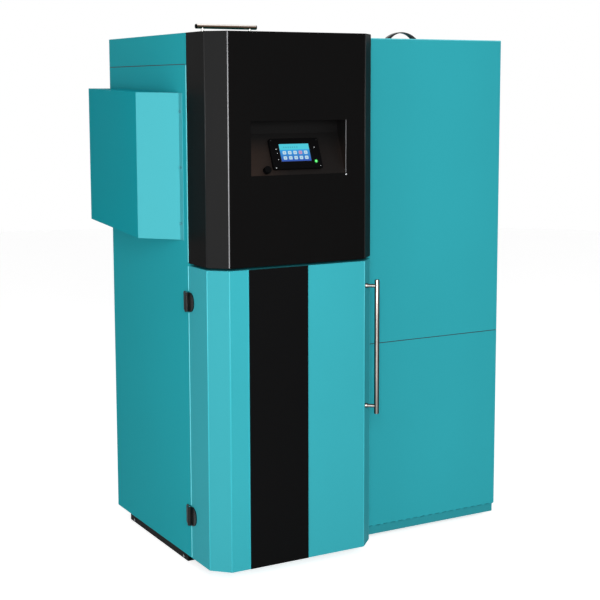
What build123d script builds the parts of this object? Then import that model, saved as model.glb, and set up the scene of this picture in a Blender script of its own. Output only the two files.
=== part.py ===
from build123d import *

import math
import os

# A floor-standing pellet boiler with its pellet tank on its right.
# Millimetres. x runs to the right, y to the back and z up. The origin is on the floor, under the
# middle of the whole object. The boiler's own datums are its left side, its front plane, where the
# doors close, and the floor.

# Sheet metal and running clearances
SHEET = 1.5
PLATE = 5.0
FOLD_RADIUS = 2.5
RUNNING = 0.06
GAP = 0.3
DOOR_GAP = 2.0

# Boiler casing
BOILER_WIDTH = 513.0
BOILER_DEPTH = 556.0
CASING_TOP = 1500.0
PANEL_FOOT = 45.0
CAP_SEAM = 1417.0
PANEL_RETURN = 20.0
DOOR_SIDE = 114.5
CHAMFER = 45.5
DOOR_TOP = 872.0
COVER_FOOT = 879.0

# Tank casing, measured from the boiler's left side and front plane
TANK_NEAR = 519.0
TANK_FAR = 1036.0
TANK_SETBACK = -27.0
TANK_DEPTH = 550.0
TANK_TOP = 1493.5
TANK_SEAM = 604.0
TANK_FOOT = 47.0
TANK_FEET_HEIGHT = 21.0

# What reaches furthest out of the casing
SERVICE_REACH = 95.0
HANDLE_INSET = 7.0
HANDLE_STAND_OFF = 33.0
HANDLE_RADIUS = 7.0
FAN_MOTOR_REACH = 188.0

# Datums that follow from the driving dimensions
DOOR_DEPTH = DOOR_SIDE + CHAMFER
DIAGONAL = math.sqrt(0.5)
OVERALL_WIDTH = SERVICE_REACH + TANK_FAR
LEFT = SERVICE_REACH - OVERALL_WIDTH / 2
RIGHT = LEFT + BOILER_WIDTH
CENTRE = LEFT + BOILER_WIDTH / 2
FRONT_REACH = DOOR_DEPTH - HANDLE_INSET + HANDLE_STAND_OFF * DIAGONAL + HANDLE_RADIUS
REAR_REACH = BOILER_DEPTH + FAN_MOTOR_REACH
FRONT = (FRONT_REACH - REAR_REACH) / 2
BACK = FRONT + BOILER_DEPTH
TANK_LEFT = LEFT + TANK_NEAR
TANK_RIGHT = LEFT + TANK_FAR
TANK_MIDDLE = (TANK_LEFT + TANK_RIGHT) / 2
TANK_FRONT = FRONT + TANK_SETBACK
TANK_BACK = TANK_FRONT + TANK_DEPTH
TANK_CENTRE_Y = (TANK_FRONT + TANK_BACK) / 2

os.makedirs("parts", exist_ok=True)


def across(near, far):
    """Span of x, measured from the boiler's left side."""
    return LEFT + near, LEFT + far


def depth(near, far):
    """Span of y, measured from the boiler's front plane."""
    return FRONT + near, FRONT + far


def around(middle, width):
    """Span of the given width, centred on middle."""
    return middle - width / 2, middle + width / 2


def block(x, y, z, mode=Mode.ADD):
    """Put a box that fills the spans x, y and z into the piece in hand."""
    spans = (x, y, z)
    with Locations(tuple(sum(span) / 2 for span in spans)):
        Box(*[high - low for low, high in spans], mode=mode)


def rod(start, end, radius, mode=Mode.ADD):
    """Put a round rod from start to end into the piece in hand."""
    axis = Vector(*end) - Vector(*start)
    with Locations(Plane(origin=start, z_dir=axis)):
        Cylinder(radius, axis.length, align=(Align.CENTER, Align.CENTER, Align.MIN), mode=mode)


# Base skid: two channel runners, two cross tubes and the floor plate, welded
RUNNER_INSET = 30.0
RUNNER_WIDTH = 30.0
RUNNER_START = 95.0
RUNNER_END = 527.0
RUNNER_WALL = 4.0
CROSS_TUBE = 30.0
CROSS_START = 110.0
CROSS_END = 480.0
FLOOR_PLATE = 2.0
FLOOR_TOP = PANEL_FOOT + FLOOR_PLATE
BOLT_HEAD = 5.0
BOLT_HEIGHT = 10.0
BOLT_PLACES = (114.0, 486.0)

with BuildPart() as base_skid:
    for near in (RUNNER_INSET, BOILER_WIDTH - RUNNER_INSET - RUNNER_WIDTH):
        block(across(near, near + RUNNER_WIDTH), depth(RUNNER_START, RUNNER_END), (0, PANEL_FOOT))
        inward = RUNNER_WALL if near == RUNNER_INSET else -RUNNER_WALL
        block(
            across(near + inward, near + inward + RUNNER_WIDTH),
            depth(RUNNER_START, RUNNER_END),
            (RUNNER_WALL, PANEL_FOOT - RUNNER_WALL),
            Mode.SUBTRACT,
        )
    for near in (CROSS_START, CROSS_END):
        block(
            across(RUNNER_INSET + RUNNER_WALL, BOILER_WIDTH - RUNNER_INSET - RUNNER_WALL),
            depth(near, near + CROSS_TUBE),
            (RUNNER_WALL, PANEL_FOOT),
        )
    block(
        across(SHEET + GAP, BOILER_WIDTH - SHEET - GAP),
        depth(2 * SHEET + GAP, BOILER_DEPTH - SHEET - GAP),
        (PANEL_FOOT, FLOOR_TOP),
    )
base_skid.part.label = "base_skid"
export_step(base_skid.part, "parts/base_skid.step")

# Side panels: one sheet each, folded in at the front and the back
CHUTE_RADIUS = 30.0
CHUTE_BEND = (LEFT + 592.0, TANK_CENTRE_Y, 572.0)
CHUTE_MOUTH = (LEFT + 352.0, TANK_CENTRE_Y, 312.0)
CHUTE_CLEARANCE = 2.0
SHAFT_RADIUS = 8.0
SHAFT_Y = FRONT + 205.0
SHAFT_Z = 1275.0
SHAFT_WINDOW = 14.0


def side_panel(outer, inner):
    """Fold a side panel whose outer face is at x = outer and whose inner side is towards x = inner."""
    towards = 1 if inner > outer else -1
    face = sorted((outer, outer + towards * SHEET))
    fold = sorted((outer, outer + towards * PANEL_RETURN))
    height = (PANEL_FOOT, CAP_SEAM - GAP)
    block(face, depth(0, BOILER_DEPTH), height)
    block(fold, depth(0, SHEET), height)
    block(fold, depth(BOILER_DEPTH - SHEET, BOILER_DEPTH), height)


with BuildPart() as left_side_panel:
    side_panel(LEFT, RIGHT)
    rod((LEFT, SHAFT_Y, SHAFT_Z), (LEFT + PANEL_RETURN, SHAFT_Y, SHAFT_Z), SHAFT_WINDOW, Mode.SUBTRACT)
left_side_panel.part.label = "left_side_panel"
export_step(left_side_panel.part, "parts/left_side_panel.step")

with BuildPart() as right_side_panel:
    side_panel(RIGHT, LEFT)
    rod(CHUTE_MOUTH, CHUTE_BEND, CHUTE_RADIUS + CHUTE_CLEARANCE, Mode.SUBTRACT)
right_side_panel.part.label = "right_side_panel"
export_step(right_side_panel.part, "parts/right_side_panel.step")

# Rear panel, with holes for the flue duct, the water stubs and the drain
DUCT_RADIUS = 60.0
DUCT_Z = 1312.0
STUB_X = LEFT + 120.0
STUB_HEIGHTS = (260.0, 1180.0)
STUB_BOSS_RADIUS = 21.0
DRAIN_X = LEFT + 400.0
DRAIN_Z = 225.0
DRAIN_PIPE_RADIUS = 10.0
HOLE_CLEARANCE = 3.0

with BuildPart() as rear_panel:
    block(
        across(SHEET, BOILER_WIDTH - SHEET),
        depth(BOILER_DEPTH - 2 * SHEET, BOILER_DEPTH - SHEET),
        (FLOOR_TOP, CAP_SEAM - GAP),
    )
    holes = [(CENTRE, DUCT_Z, DUCT_RADIUS), (DRAIN_X, DRAIN_Z, DRAIN_PIPE_RADIUS)]
    holes += [(STUB_X, height, STUB_BOSS_RADIUS) for height in STUB_HEIGHTS]
    for x, z, radius in holes:
        rod((x, BACK - PLATE, z), (x, BACK + PLATE, z), radius + HOLE_CLEARANCE, Mode.SUBTRACT)
rear_panel.part.label = "rear_panel"
export_step(rear_panel.part, "parts/rear_panel.step")

# Front frame behind the doors: a sheet with a lower and an upper window
WINDOW_INSET = 60.0
LOWER_WINDOW_TOP = 850.0
UPPER_WINDOW = (905.0, 1380.0)

with BuildPart() as front_frame:
    block(
        across(SHEET, BOILER_WIDTH - SHEET),
        depth(SHEET, 2 * SHEET),
        (FLOOR_TOP, CAP_SEAM - GAP),
    )
    for window in ((0, LOWER_WINDOW_TOP), UPPER_WINDOW):
        block(across(WINDOW_INSET, BOILER_WIDTH - WINDOW_INSET), depth(0, PLATE), window, Mode.SUBTRACT)
front_frame.part.label = "front_frame"
export_step(front_frame.part, "parts/front_frame.step")

# Water vessel: outer jacket of plate, open below for the ash box and in front for the furnace door
VESSEL_X = across(46.0, 467.0)
VESSEL_Y = depth(60.0, 500.0)
VESSEL_TOP = 1235.0
FURNACE_MOUTH_X = across(126.0, 387.0)
FURNACE_MOUTH_Z = (225.0, 560.0)
ASH_MOUTH_X = across(106.0, 407.0)
ASH_MOUTH_TOP = 168.0
FURNACE_PIN_X = LEFT + 84.0
FURNACE_PIN_Y = FRONT + 30.0
FURNACE_PIN_RADIUS = 4.0
FURNACE_HINGES = (270.0, 500.0)
LUG_HALF = 8.0
LUG_THICKNESS = 12.0
LUG_PITCH = 26.0


def inside(span, wall):
    """The span that is left inside walls of the given thickness."""
    return span[0] + wall, span[1] - wall


with BuildPart() as vessel_shell:
    block(VESSEL_X, VESSEL_Y, (FLOOR_TOP, VESSEL_TOP))
    block(inside(VESSEL_X, PLATE), inside(VESSEL_Y, PLATE), (0, CASING_TOP), Mode.SUBTRACT)
    front_wall = (VESSEL_Y[0] - PLATE, VESSEL_Y[0] + 2 * PLATE)
    block(FURNACE_MOUTH_X, front_wall, FURNACE_MOUTH_Z, Mode.SUBTRACT)
    block(ASH_MOUTH_X, front_wall, (0, ASH_MOUTH_TOP), Mode.SUBTRACT)
    for x, z in [(STUB_X, height) for height in STUB_HEIGHTS] + [(DRAIN_X, DRAIN_Z)]:
        bore = DRAIN_PIPE_RADIUS if x == DRAIN_X else STUB_BOSS_RADIUS
        rod((x, VESSEL_Y[1] - 2 * PLATE, z), (x, VESSEL_Y[1], z), bore, Mode.SUBTRACT)
    rod(CHUTE_MOUTH, CHUTE_BEND, CHUTE_RADIUS, Mode.SUBTRACT)
    for hinge in FURNACE_HINGES:
        for side in (-1, 1):
            lug = around(hinge + side * LUG_PITCH / 2, LUG_THICKNESS)
            block(around(FURNACE_PIN_X, 2 * LUG_HALF), (FURNACE_PIN_Y - LUG_HALF, VESSEL_Y[0]), lug)
        pin_half = (LUG_PITCH + LUG_THICKNESS) / 2
        rod(
            (FURNACE_PIN_X, FURNACE_PIN_Y, hinge - pin_half),
            (FURNACE_PIN_X, FURNACE_PIN_Y, hinge + pin_half),
            FURNACE_PIN_RADIUS,
        )
vessel_shell.part.label = "vessel_shell"
export_step(vessel_shell.part, "parts/vessel_shell.step")

# Heat exchanger: firebox, lower and upper tube plates and the fire tubes, welded
FIREBOX_X = across(81.0, 432.0)
FIREBOX_Y = depth(65.0, 445.0)
FIREBOX_Z = (190.0, 640.0)
LEDGE = 12.0
TUBE_RADIUS = 28.5
TUBE_BORE = 25.5
TUBE_PITCH_X = 86.0
TUBE_PITCH_Y = 100.0
TUBE_COLUMNS = 4
TUBE_ROWS = 3
TUBES_Y = FRONT + 255.0

with BuildPart() as heat_exchanger:
    block(FIREBOX_X, FIREBOX_Y, FIREBOX_Z)
    block(
        inside(FIREBOX_X, PLATE),
        inside(FIREBOX_Y, PLATE),
        (0, FIREBOX_Z[1] - PLATE),
        Mode.SUBTRACT,
    )
    block(FURNACE_MOUTH_X, (VESSEL_Y[0], FIREBOX_Y[0] + 2 * PLATE), FURNACE_MOUTH_Z, Mode.SUBTRACT)
    block(VESSEL_X, VESSEL_Y, (VESSEL_TOP, VESSEL_TOP + PLATE))
    block(inside(VESSEL_X, PLATE), inside(VESSEL_Y, PLATE), (FIREBOX_Z[0] - PLATE, FIREBOX_Z[0]))
    block(
        inside(FIREBOX_X, PLATE + LEDGE),
        inside(FIREBOX_Y, PLATE + LEDGE),
        (0, FIREBOX_Z[0]),
        Mode.SUBTRACT,
    )
    with BuildSketch(Plane.XY.offset(FIREBOX_Z[1] - PLATE)):
        with Locations((CENTRE, TUBES_Y)):
            with GridLocations(TUBE_PITCH_X, TUBE_PITCH_Y, TUBE_COLUMNS, TUBE_ROWS):
                Circle(TUBE_RADIUS)
    extrude(amount=VESSEL_TOP + 2 * PLATE - FIREBOX_Z[1])
    with BuildSketch(Plane.XY.offset(FIREBOX_Z[1] - 2 * PLATE)):
        with Locations((CENTRE, TUBES_Y)):
            with GridLocations(TUBE_PITCH_X, TUBE_PITCH_Y, TUBE_COLUMNS, TUBE_ROWS):
                Circle(TUBE_BORE)
    extrude(amount=VESSEL_TOP + 4 * PLATE - FIREBOX_Z[1], mode=Mode.SUBTRACT)
    rod(CHUTE_MOUTH, CHUTE_BEND, CHUTE_RADIUS, Mode.SUBTRACT)
heat_exchanger.part.label = "heat_exchanger"
export_step(heat_exchanger.part, "parts/heat_exchanger.step")

# Furnace lining: three boards of refractory inside the firebox
LINING = 22.0
LINING_Z = (206.0, 630.0)

with BuildPart() as furnace_lining:
    cavity_x = inside(FIREBOX_X, PLATE)
    cavity_y = inside(FIREBOX_Y, PLATE)
    side_boards = (cavity_y[0] + PLATE, cavity_y[1] - LINING - GAP)
    block((cavity_x[0], cavity_x[0] + LINING), side_boards, LINING_Z)
    block((cavity_x[1] - LINING, cavity_x[1]), side_boards, LINING_Z)
    block(cavity_x, (cavity_y[1] - LINING, cavity_y[1]), LINING_Z)
    rod(CHUTE_MOUTH, CHUTE_BEND, CHUTE_RADIUS + CHUTE_CLEARANCE, Mode.SUBTRACT)
furnace_lining.part.label = "furnace_lining"
export_step(furnace_lining.part, "parts/furnace_lining.step")

# Insulation: boards of mineral wool on four sides of the vessel
WOOL = 35.0
WOOL_FOOT = 60.0
WOOL_CLEARANCE = 1.0

with BuildPart() as insulation_jacket:
    wool_height = (WOOL_FOOT, VESSEL_TOP)
    block((VESSEL_X[0] - WOOL, VESSEL_X[0] - WOOL_CLEARANCE), VESSEL_Y, wool_height)
    block((VESSEL_X[1] + WOOL_CLEARANCE, VESSEL_X[1] + WOOL), VESSEL_Y, wool_height)
    block(VESSEL_X, (VESSEL_Y[1] + WOOL_CLEARANCE, VESSEL_Y[1] + WOOL), wool_height)
    block(
        across(WINDOW_INSET, BOILER_WIDTH - WINDOW_INSET),
        (VESSEL_Y[0] - WOOL, VESSEL_Y[0] - WOOL_CLEARANCE),
        (FIREBOX_Z[1], VESSEL_TOP),
    )
    for x, z in [(STUB_X, height) for height in STUB_HEIGHTS] + [(DRAIN_X, DRAIN_Z)]:
        bore = DRAIN_PIPE_RADIUS if x == DRAIN_X else STUB_BOSS_RADIUS
        rod((x, VESSEL_Y[1], z), (x, BACK, z), bore + HOLE_CLEARANCE, Mode.SUBTRACT)
    rod(CHUTE_MOUTH, CHUTE_BEND, CHUTE_RADIUS + CHUTE_CLEARANCE, Mode.SUBTRACT)
insulation_jacket.part.label = "insulation_jacket"
export_step(insulation_jacket.part, "parts/insulation_jacket.step")

# Flue chamber: open box on top of the vessel, with bushes for the cleaning shaft
CHAMBER_X = across(60.0, 453.0)
CHAMBER_Y = depth(90.0, 470.0)
CHAMBER_Z = (VESSEL_TOP + PLATE, 1385.0)
CHAMBER_WALL = 3.0
BUSH_RADIUS = 14.0
BUSH_LENGTH = 14.0

with BuildPart() as flue_chamber:
    block(CHAMBER_X, CHAMBER_Y, CHAMBER_Z)
    for wall_x, outward in ((CHAMBER_X[0], -1), (CHAMBER_X[1], 1)):
        rod(
            (wall_x, SHAFT_Y, SHAFT_Z),
            (wall_x + outward * BUSH_LENGTH, SHAFT_Y, SHAFT_Z),
            BUSH_RADIUS,
        )
    block(inside(CHAMBER_X, CHAMBER_WALL), inside(CHAMBER_Y, CHAMBER_WALL), (0, CASING_TOP), Mode.SUBTRACT)
    rod((LEFT, SHAFT_Y, SHAFT_Z), (RIGHT, SHAFT_Y, SHAFT_Z), SHAFT_RADIUS + RUNNING, Mode.SUBTRACT)
    rod(
        (CENTRE, CHAMBER_Y[1] - 2 * PLATE, DUCT_Z),
        (CENTRE, CHAMBER_Y[1] + PLATE, DUCT_Z),
        DUCT_RADIUS - CHAMBER_WALL,
        Mode.SUBTRACT,
    )
flue_chamber.part.label = "flue_chamber"
export_step(flue_chamber.part, "parts/flue_chamber.step")

# Chamber lid: insulated slab with a bow handle, under the top cover
LID_OVERLAP = 8.0
LID_THICKNESS = 24.0
LID_BOW_HALF = 45.0
LID_BOW_HEIGHT = 40.0
LID_BOW_RADIUS = 4.0

with BuildPart() as chamber_lid:
    lid_bottom = CHAMBER_Z[1] + GAP
    lid_top = lid_bottom + LID_THICKNESS
    block(
        (CHAMBER_X[0] - LID_OVERLAP, CHAMBER_X[1] + LID_OVERLAP),
        (CHAMBER_Y[0] - LID_OVERLAP, CHAMBER_Y[1] + LID_OVERLAP),
        (lid_bottom, lid_top),
    )
    fillet(chamber_lid.edges().filter_by(Axis.Z), FOLD_RADIUS)
    bow_corners = [
        (CENTRE - LID_BOW_HALF, TUBES_Y, lid_top - PLATE),
        (CENTRE - LID_BOW_HALF, TUBES_Y, lid_top + LID_BOW_HEIGHT),
        (CENTRE + LID_BOW_HALF, TUBES_Y, lid_top + LID_BOW_HEIGHT),
        (CENTRE + LID_BOW_HALF, TUBES_Y, lid_top - PLATE),
    ]
    with BuildLine() as bow_line:
        FilletPolyline(*bow_corners, radius=3 * LID_BOW_RADIUS)
    with BuildSketch(Plane(origin=bow_corners[0], z_dir=(0, 0, 1))):
        Circle(LID_BOW_RADIUS)
    sweep(path=bow_line.wires()[0])
chamber_lid.part.label = "chamber_lid"
export_step(chamber_lid.part, "parts/chamber_lid.step")

# Turbulator rack: bars that carry a corrugated strip for each fire tube
RACK_REST = 9.3
RACK_BAR = 8.0
RACK_BAR_WIDTH = 14.0
RACK_END_X = 155.0
STRIP_WIDTH = 34.0
STRIP_SWING = 15.0
STRIP_THICKNESS = 2.0
STRIP_WAVES = 11
STRIP_PITCH = 50.0
RACK_Z = (SHAFT_Z + RACK_REST, SHAFT_Z + RACK_REST + RACK_BAR)


def corrugated_strip(x, y):
    """Hang one zigzag strip from the rack at x, y, as a thin folded band."""
    centre_line = [(x, RACK_Z[0])]
    for fold in range(1, STRIP_WAVES + 1):
        swing = STRIP_SWING if fold % 2 else -STRIP_SWING
        centre_line.append((x + swing, RACK_Z[0] - fold * STRIP_PITCH))
    right_edge = [(px + STRIP_THICKNESS, pz) for px, pz in centre_line]
    with BuildSketch(Plane(origin=(0, y, 0), x_dir=(1, 0, 0), z_dir=(0, -1, 0))) as band:
        with BuildLine():
            Polyline(*centre_line, *reversed(right_edge), close=True)
        make_face()
    extrude(band.sketch, amount=STRIP_WIDTH / 2, both=True)


with BuildPart() as turbulator_rack:
    rack_x = (CENTRE - RACK_END_X, CENTRE + RACK_END_X)
    for row in (-1, 0, 1):
        block(rack_x, around(TUBES_Y + row * TUBE_PITCH_Y, RACK_BAR_WIDTH), RACK_Z)
    for end_x in rack_x:
        block(
            around(end_x, RACK_BAR_WIDTH),
            around(TUBES_Y, 2 * TUBE_PITCH_Y + RACK_BAR_WIDTH),
            RACK_Z,
        )
    for column in range(TUBE_COLUMNS):
        tube_x = CENTRE + (column - (TUBE_COLUMNS - 1) / 2) * TUBE_PITCH_X
        for row in (-1, 0, 1):
            corrugated_strip(tube_x, TUBES_Y + row * TUBE_PITCH_Y)
turbulator_rack.part.label = "turbulator_rack"
export_step(turbulator_rack.part, "parts/turbulator_rack.step")

# Cleaning shaft: passes the flue chamber and lifts the rack with two arms
ARM_REACH = 50.0
ARM_WIDTH = 10.0
ARM_RADIUS = 9.0
ARM_PLACES = (170.0, 343.0)
GEARBOX_X = across(-84.0, -14.0)
SHAFT_IN_GEARBOX = 30.0

with BuildPart() as cleaning_shaft:
    rod(
        (GEARBOX_X[1] - SHAFT_IN_GEARBOX, SHAFT_Y, SHAFT_Z),
        (CHAMBER_X[1] + BUSH_LENGTH, SHAFT_Y, SHAFT_Z),
        SHAFT_RADIUS,
    )
    for place in ARM_PLACES:
        arm_x = around(LEFT + place, ARM_WIDTH)
        block(arm_x, (SHAFT_Y, SHAFT_Y + ARM_REACH), around(SHAFT_Z, 2 * SHAFT_RADIUS))
        tip = SHAFT_Y + ARM_REACH
        rod((arm_x[0], tip, SHAFT_Z), (arm_x[1], tip, SHAFT_Z), ARM_RADIUS)
cleaning_shaft.part.label = "cleaning_shaft"
export_step(cleaning_shaft.part, "parts/cleaning_shaft.step")

# Gear motor of the cleaning shaft, on a foot plate on the left side panel
GEARBOX_Y = around(SHAFT_Y, 84.0)
GEARBOX_Z = (1232.0, 1318.0)
CLEANER_MOTOR_RADIUS = 31.0
CLEANER_MOTOR_LENGTH = 130.0
FOOT_PLATE = 4.0
FOOT_PLATE_MARGIN = 18.0

with BuildPart() as cleaning_gearmotor:
    block(GEARBOX_X, GEARBOX_Y, GEARBOX_Z)
    fillet(cleaning_gearmotor.edges().filter_by(Axis.X), PLATE)
    motor_x = sum(GEARBOX_X) / 2
    rod(
        (motor_x, SHAFT_Y, GEARBOX_Z[0] - CLEANER_MOTOR_LENGTH),
        (motor_x, SHAFT_Y, GEARBOX_Z[0]),
        CLEANER_MOTOR_RADIUS,
    )
    block(
        (GEARBOX_X[1], LEFT),
        around(SHAFT_Y, 4 * FOOT_PLATE),
        around(SHAFT_Z - SHAFT_WINDOW - 2 * FOOT_PLATE, 2 * FOOT_PLATE),
    )
    block(
        (GEARBOX_X[1], LEFT),
        around(SHAFT_Y, 4 * FOOT_PLATE),
        around(SHAFT_Z + SHAFT_WINDOW + 2 * FOOT_PLATE, 2 * FOOT_PLATE),
    )
    block(
        (LEFT - FOOT_PLATE, LEFT),
        (GEARBOX_Y[0] - FOOT_PLATE_MARGIN, GEARBOX_Y[1] + FOOT_PLATE_MARGIN),
        GEARBOX_Z,
    )
    rod(
        (GEARBOX_X[0] + PLATE, SHAFT_Y, SHAFT_Z),
        (LEFT, SHAFT_Y, SHAFT_Z),
        SHAFT_RADIUS + RUNNING,
        Mode.SUBTRACT,
    )
cleaning_gearmotor.part.label = "cleaning_gearmotor"
export_step(cleaning_gearmotor.part, "parts/cleaning_gearmotor.step")

# Service cover of the cleaning drive: a folded box with a slanted front, a little lower at the front
SERVICE_Y = depth(46.0, 553.0)
SERVICE_CORNER_Y = FRONT + 123.0
SERVICE_FRONT_Z = (939.0, 1340.0)
SERVICE_REAR_Z = (958.0, 1353.0)
SERVICE_REAR_REACH = 70.0
SERVICE_FLANGE = 20.0
SERVICE_SLANT = (SERVICE_CORNER_Y - SERVICE_Y[0]) / SERVICE_REACH


def service_form(skin):
    """Make the service cover's filled form, drawn in by skin on all sides but the panel's."""
    front_y, rear_y = SERVICE_Y
    front_foot, front_head = inside(SERVICE_FRONT_Z, skin)
    rear_foot, rear_head = inside(SERVICE_REAR_Z, skin)
    with BuildPart() as form:
        with BuildSketch():
            with BuildLine():
                Polyline(
                    (LEFT + SERVICE_FLANGE, front_y - SERVICE_FLANGE * SERVICE_SLANT),
                    (LEFT - SERVICE_REACH, SERVICE_CORNER_Y),
                    (LEFT - SERVICE_REAR_REACH, rear_y),
                    (LEFT + SERVICE_FLANGE, rear_y),
                    close=True,
                )
            make_face()
            if skin:
                offset(amount=-skin, kind=Kind.INTERSECTION)
        extrude(amount=CASING_TOP)
        with BuildSketch(Plane.YZ) as side_view:
            with BuildLine():
                Polyline(
                    (front_y, front_foot),
                    (rear_y, rear_foot),
                    (rear_y, rear_head),
                    (front_y, front_head),
                    close=True,
                )
            make_face()
        extrude(side_view.sketch, amount=OVERALL_WIDTH, both=True, mode=Mode.INTERSECT)
        block((LEFT - SERVICE_REACH, LEFT), SERVICE_Y, (0, CASING_TOP), Mode.INTERSECT)
    return form.part


with BuildPart() as service_cover:
    add(service_form(0))
    add(service_form(SHEET), mode=Mode.SUBTRACT)
    block((LEFT - SHEET, LEFT), (SERVICE_Y[0] - SERVICE_FLANGE, SERVICE_Y[0] + SHEET), SERVICE_FRONT_Z)
service_cover.part.label = "service_cover"
export_step(service_cover.part, "parts/service_cover.step")

# Casing screws: identical hexagon heads on the skid's runners and the service cover's flange
SCREW_RADIUS = 4.6
SERVICE_SCREWS = (985.0, 1138.0, 1290.0)


def side_screw(x, y, z):
    """Put a hexagon screw into the piece in hand, its head standing out from x to the left."""
    with BuildSketch(Plane(origin=(x, y, z), x_dir=(0, 0, 1), z_dir=(-1, 0, 0))) as head:
        RegularPolygon(SCREW_RADIUS, 6)
    extrude(head.sketch, amount=BOLT_HEAD)


with BuildPart() as casing_screws:
    for place in BOLT_PLACES:
        side_screw(LEFT + RUNNER_INSET, FRONT + place, BOLT_HEIGHT)
    for height in SERVICE_SCREWS:
        side_screw(LEFT - SHEET, SERVICE_Y[0] - SERVICE_FLANGE / 2, height)
casing_screws.part.label = "casing_screws"
export_step(casing_screws.part, "parts/casing_screws.step")

# Flue fan: duct from the chamber, round housing, spigot for the flue pipe and the motor behind
FAN_Y = depth(572.0, 706.0)
FAN_RADIUS = 122.0
FAN_WALL = 2.0
SPIGOT_X = CENTRE + 50.0
SPIGOT_RADIUS = 65.0
SPIGOT_TOP = 1496.0
OUTLET_WIDTH = 142.0
OUTLET_TOP = 1436.0
IMPELLER_SHAFT = 6.0


def fan_volume(skin, bottom_cut):
    """Fill the fan's outer form, drawn in by skin, into the piece in hand."""
    mode = Mode.SUBTRACT if bottom_cut else Mode.ADD
    fan_middle = sum(FAN_Y) / 2
    rod(
        (CENTRE, FAN_Y[0] + skin, DUCT_Z),
        (CENTRE, FAN_Y[1] - skin, DUCT_Z),
        FAN_RADIUS - skin,
        mode,
    )
    rod((CENTRE, CHAMBER_Y[1], DUCT_Z), (CENTRE, FAN_Y[0] + 2 * skin, DUCT_Z), DUCT_RADIUS - skin, mode)
    block(
        around(SPIGOT_X, OUTLET_WIDTH - 2 * skin),
        inside(FAN_Y, skin),
        (DUCT_Z, OUTLET_TOP - skin),
        mode,
    )
    rod(
        (SPIGOT_X, fan_middle, OUTLET_TOP - 2 * skin),
        (SPIGOT_X, fan_middle, SPIGOT_TOP),
        SPIGOT_RADIUS - skin,
        mode,
    )


with BuildPart() as flue_fan_housing:
    fan_volume(0, False)
    fan_volume(FAN_WALL, True)
    rod(
        (CENTRE, FAN_Y[1] - PLATE, DUCT_Z),
        (CENTRE, FAN_Y[1] + PLATE, DUCT_Z),
        IMPELLER_SHAFT + GAP,
        Mode.SUBTRACT,
    )
flue_fan_housing.part.label = "flue_fan_housing"
export_step(flue_fan_housing.part, "parts/flue_fan_housing.step")

# Impeller: back plate with straight blades, and its shaft into the motor
IMPELLER_RADIUS = 85.0
IMPELLER_BLADES = 8
BLADE_LENGTH = 50.0
BLADE_DEPTH = 34.0
BLADE_THICKNESS = 2.5
IMPELLER_PLATE_Y = FAN_Y[1] - 12.0
SHAFT_IN_MOTOR = 25.0

with BuildPart(Plane(origin=(CENTRE, IMPELLER_PLATE_Y, DUCT_Z), z_dir=(0, -1, 0))) as flue_fan_impeller:
    Cylinder(IMPELLER_RADIUS, BLADE_THICKNESS)
    Cylinder(3 * IMPELLER_SHAFT, BLADE_DEPTH / 2, align=(Align.CENTER, Align.CENTER, Align.MIN))
    with PolarLocations(IMPELLER_RADIUS - BLADE_LENGTH / 2 - BLADE_THICKNESS, IMPELLER_BLADES):
        Box(BLADE_LENGTH, BLADE_THICKNESS, BLADE_DEPTH, align=(Align.CENTER, Align.CENTER, Align.MIN))
    with Locations((0, 0, -(FAN_Y[1] - IMPELLER_PLATE_Y) - SHAFT_IN_MOTOR)):
        Cylinder(
            IMPELLER_SHAFT,
            FAN_Y[1] - IMPELLER_PLATE_Y + SHAFT_IN_MOTOR,
            align=(Align.CENTER, Align.CENTER, Align.MIN),
        )
flue_fan_impeller.part.label = "flue_fan_impeller"
export_step(flue_fan_impeller.part, "parts/flue_fan_impeller.step")

FAN_MOTOR_RADIUS = 46.0
FAN_MOTOR_FLANGE = 70.0
FAN_MOTOR_PLATE = 4.0
FAN_MOTOR_RIM = 6.0

with BuildPart() as flue_fan_motor:
    motor_back = FRONT + REAR_REACH
    rod((CENTRE, FAN_Y[1], DUCT_Z), (CENTRE, FAN_Y[1] + FAN_MOTOR_PLATE, DUCT_Z), FAN_MOTOR_FLANGE)
    rod((CENTRE, FAN_Y[1], DUCT_Z), (CENTRE, motor_back, DUCT_Z), FAN_MOTOR_RADIUS)
    fillet(flue_fan_motor.edges().sort_by(Axis.Y)[-1], FAN_MOTOR_RIM)
    rod(
        (CENTRE, FAN_Y[1], DUCT_Z),
        (CENTRE, FAN_Y[1] + SHAFT_IN_MOTOR + GAP, DUCT_Z),
        IMPELLER_SHAFT + RUNNING,
        Mode.SUBTRACT,
    )
flue_fan_motor.part.label = "flue_fan_motor"
export_step(flue_fan_motor.part, "parts/flue_fan_motor.step")

# Water stubs for flow and return: weld boss in the vessel, thread outside the rear panel
STUB_THREAD_RADIUS = 16.6
STUB_BORE = 13.6
STUB_BOSS_END = BACK + 4.0
STUB_END = BACK + 40.0

with BuildPart() as water_stubs:
    for height in STUB_HEIGHTS:
        stub_start = (STUB_X, VESSEL_Y[1] - PLATE, height)
        rod(stub_start, (STUB_X, STUB_BOSS_END, height), STUB_BOSS_RADIUS)
        rod((STUB_X, STUB_BOSS_END, height), (STUB_X, STUB_END, height), STUB_THREAD_RADIUS)
        rod(stub_start, (STUB_X, STUB_END, height), STUB_BORE, Mode.SUBTRACT)
water_stubs.part.label = "water_stubs"
export_step(water_stubs.part, "parts/water_stubs.step")

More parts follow.
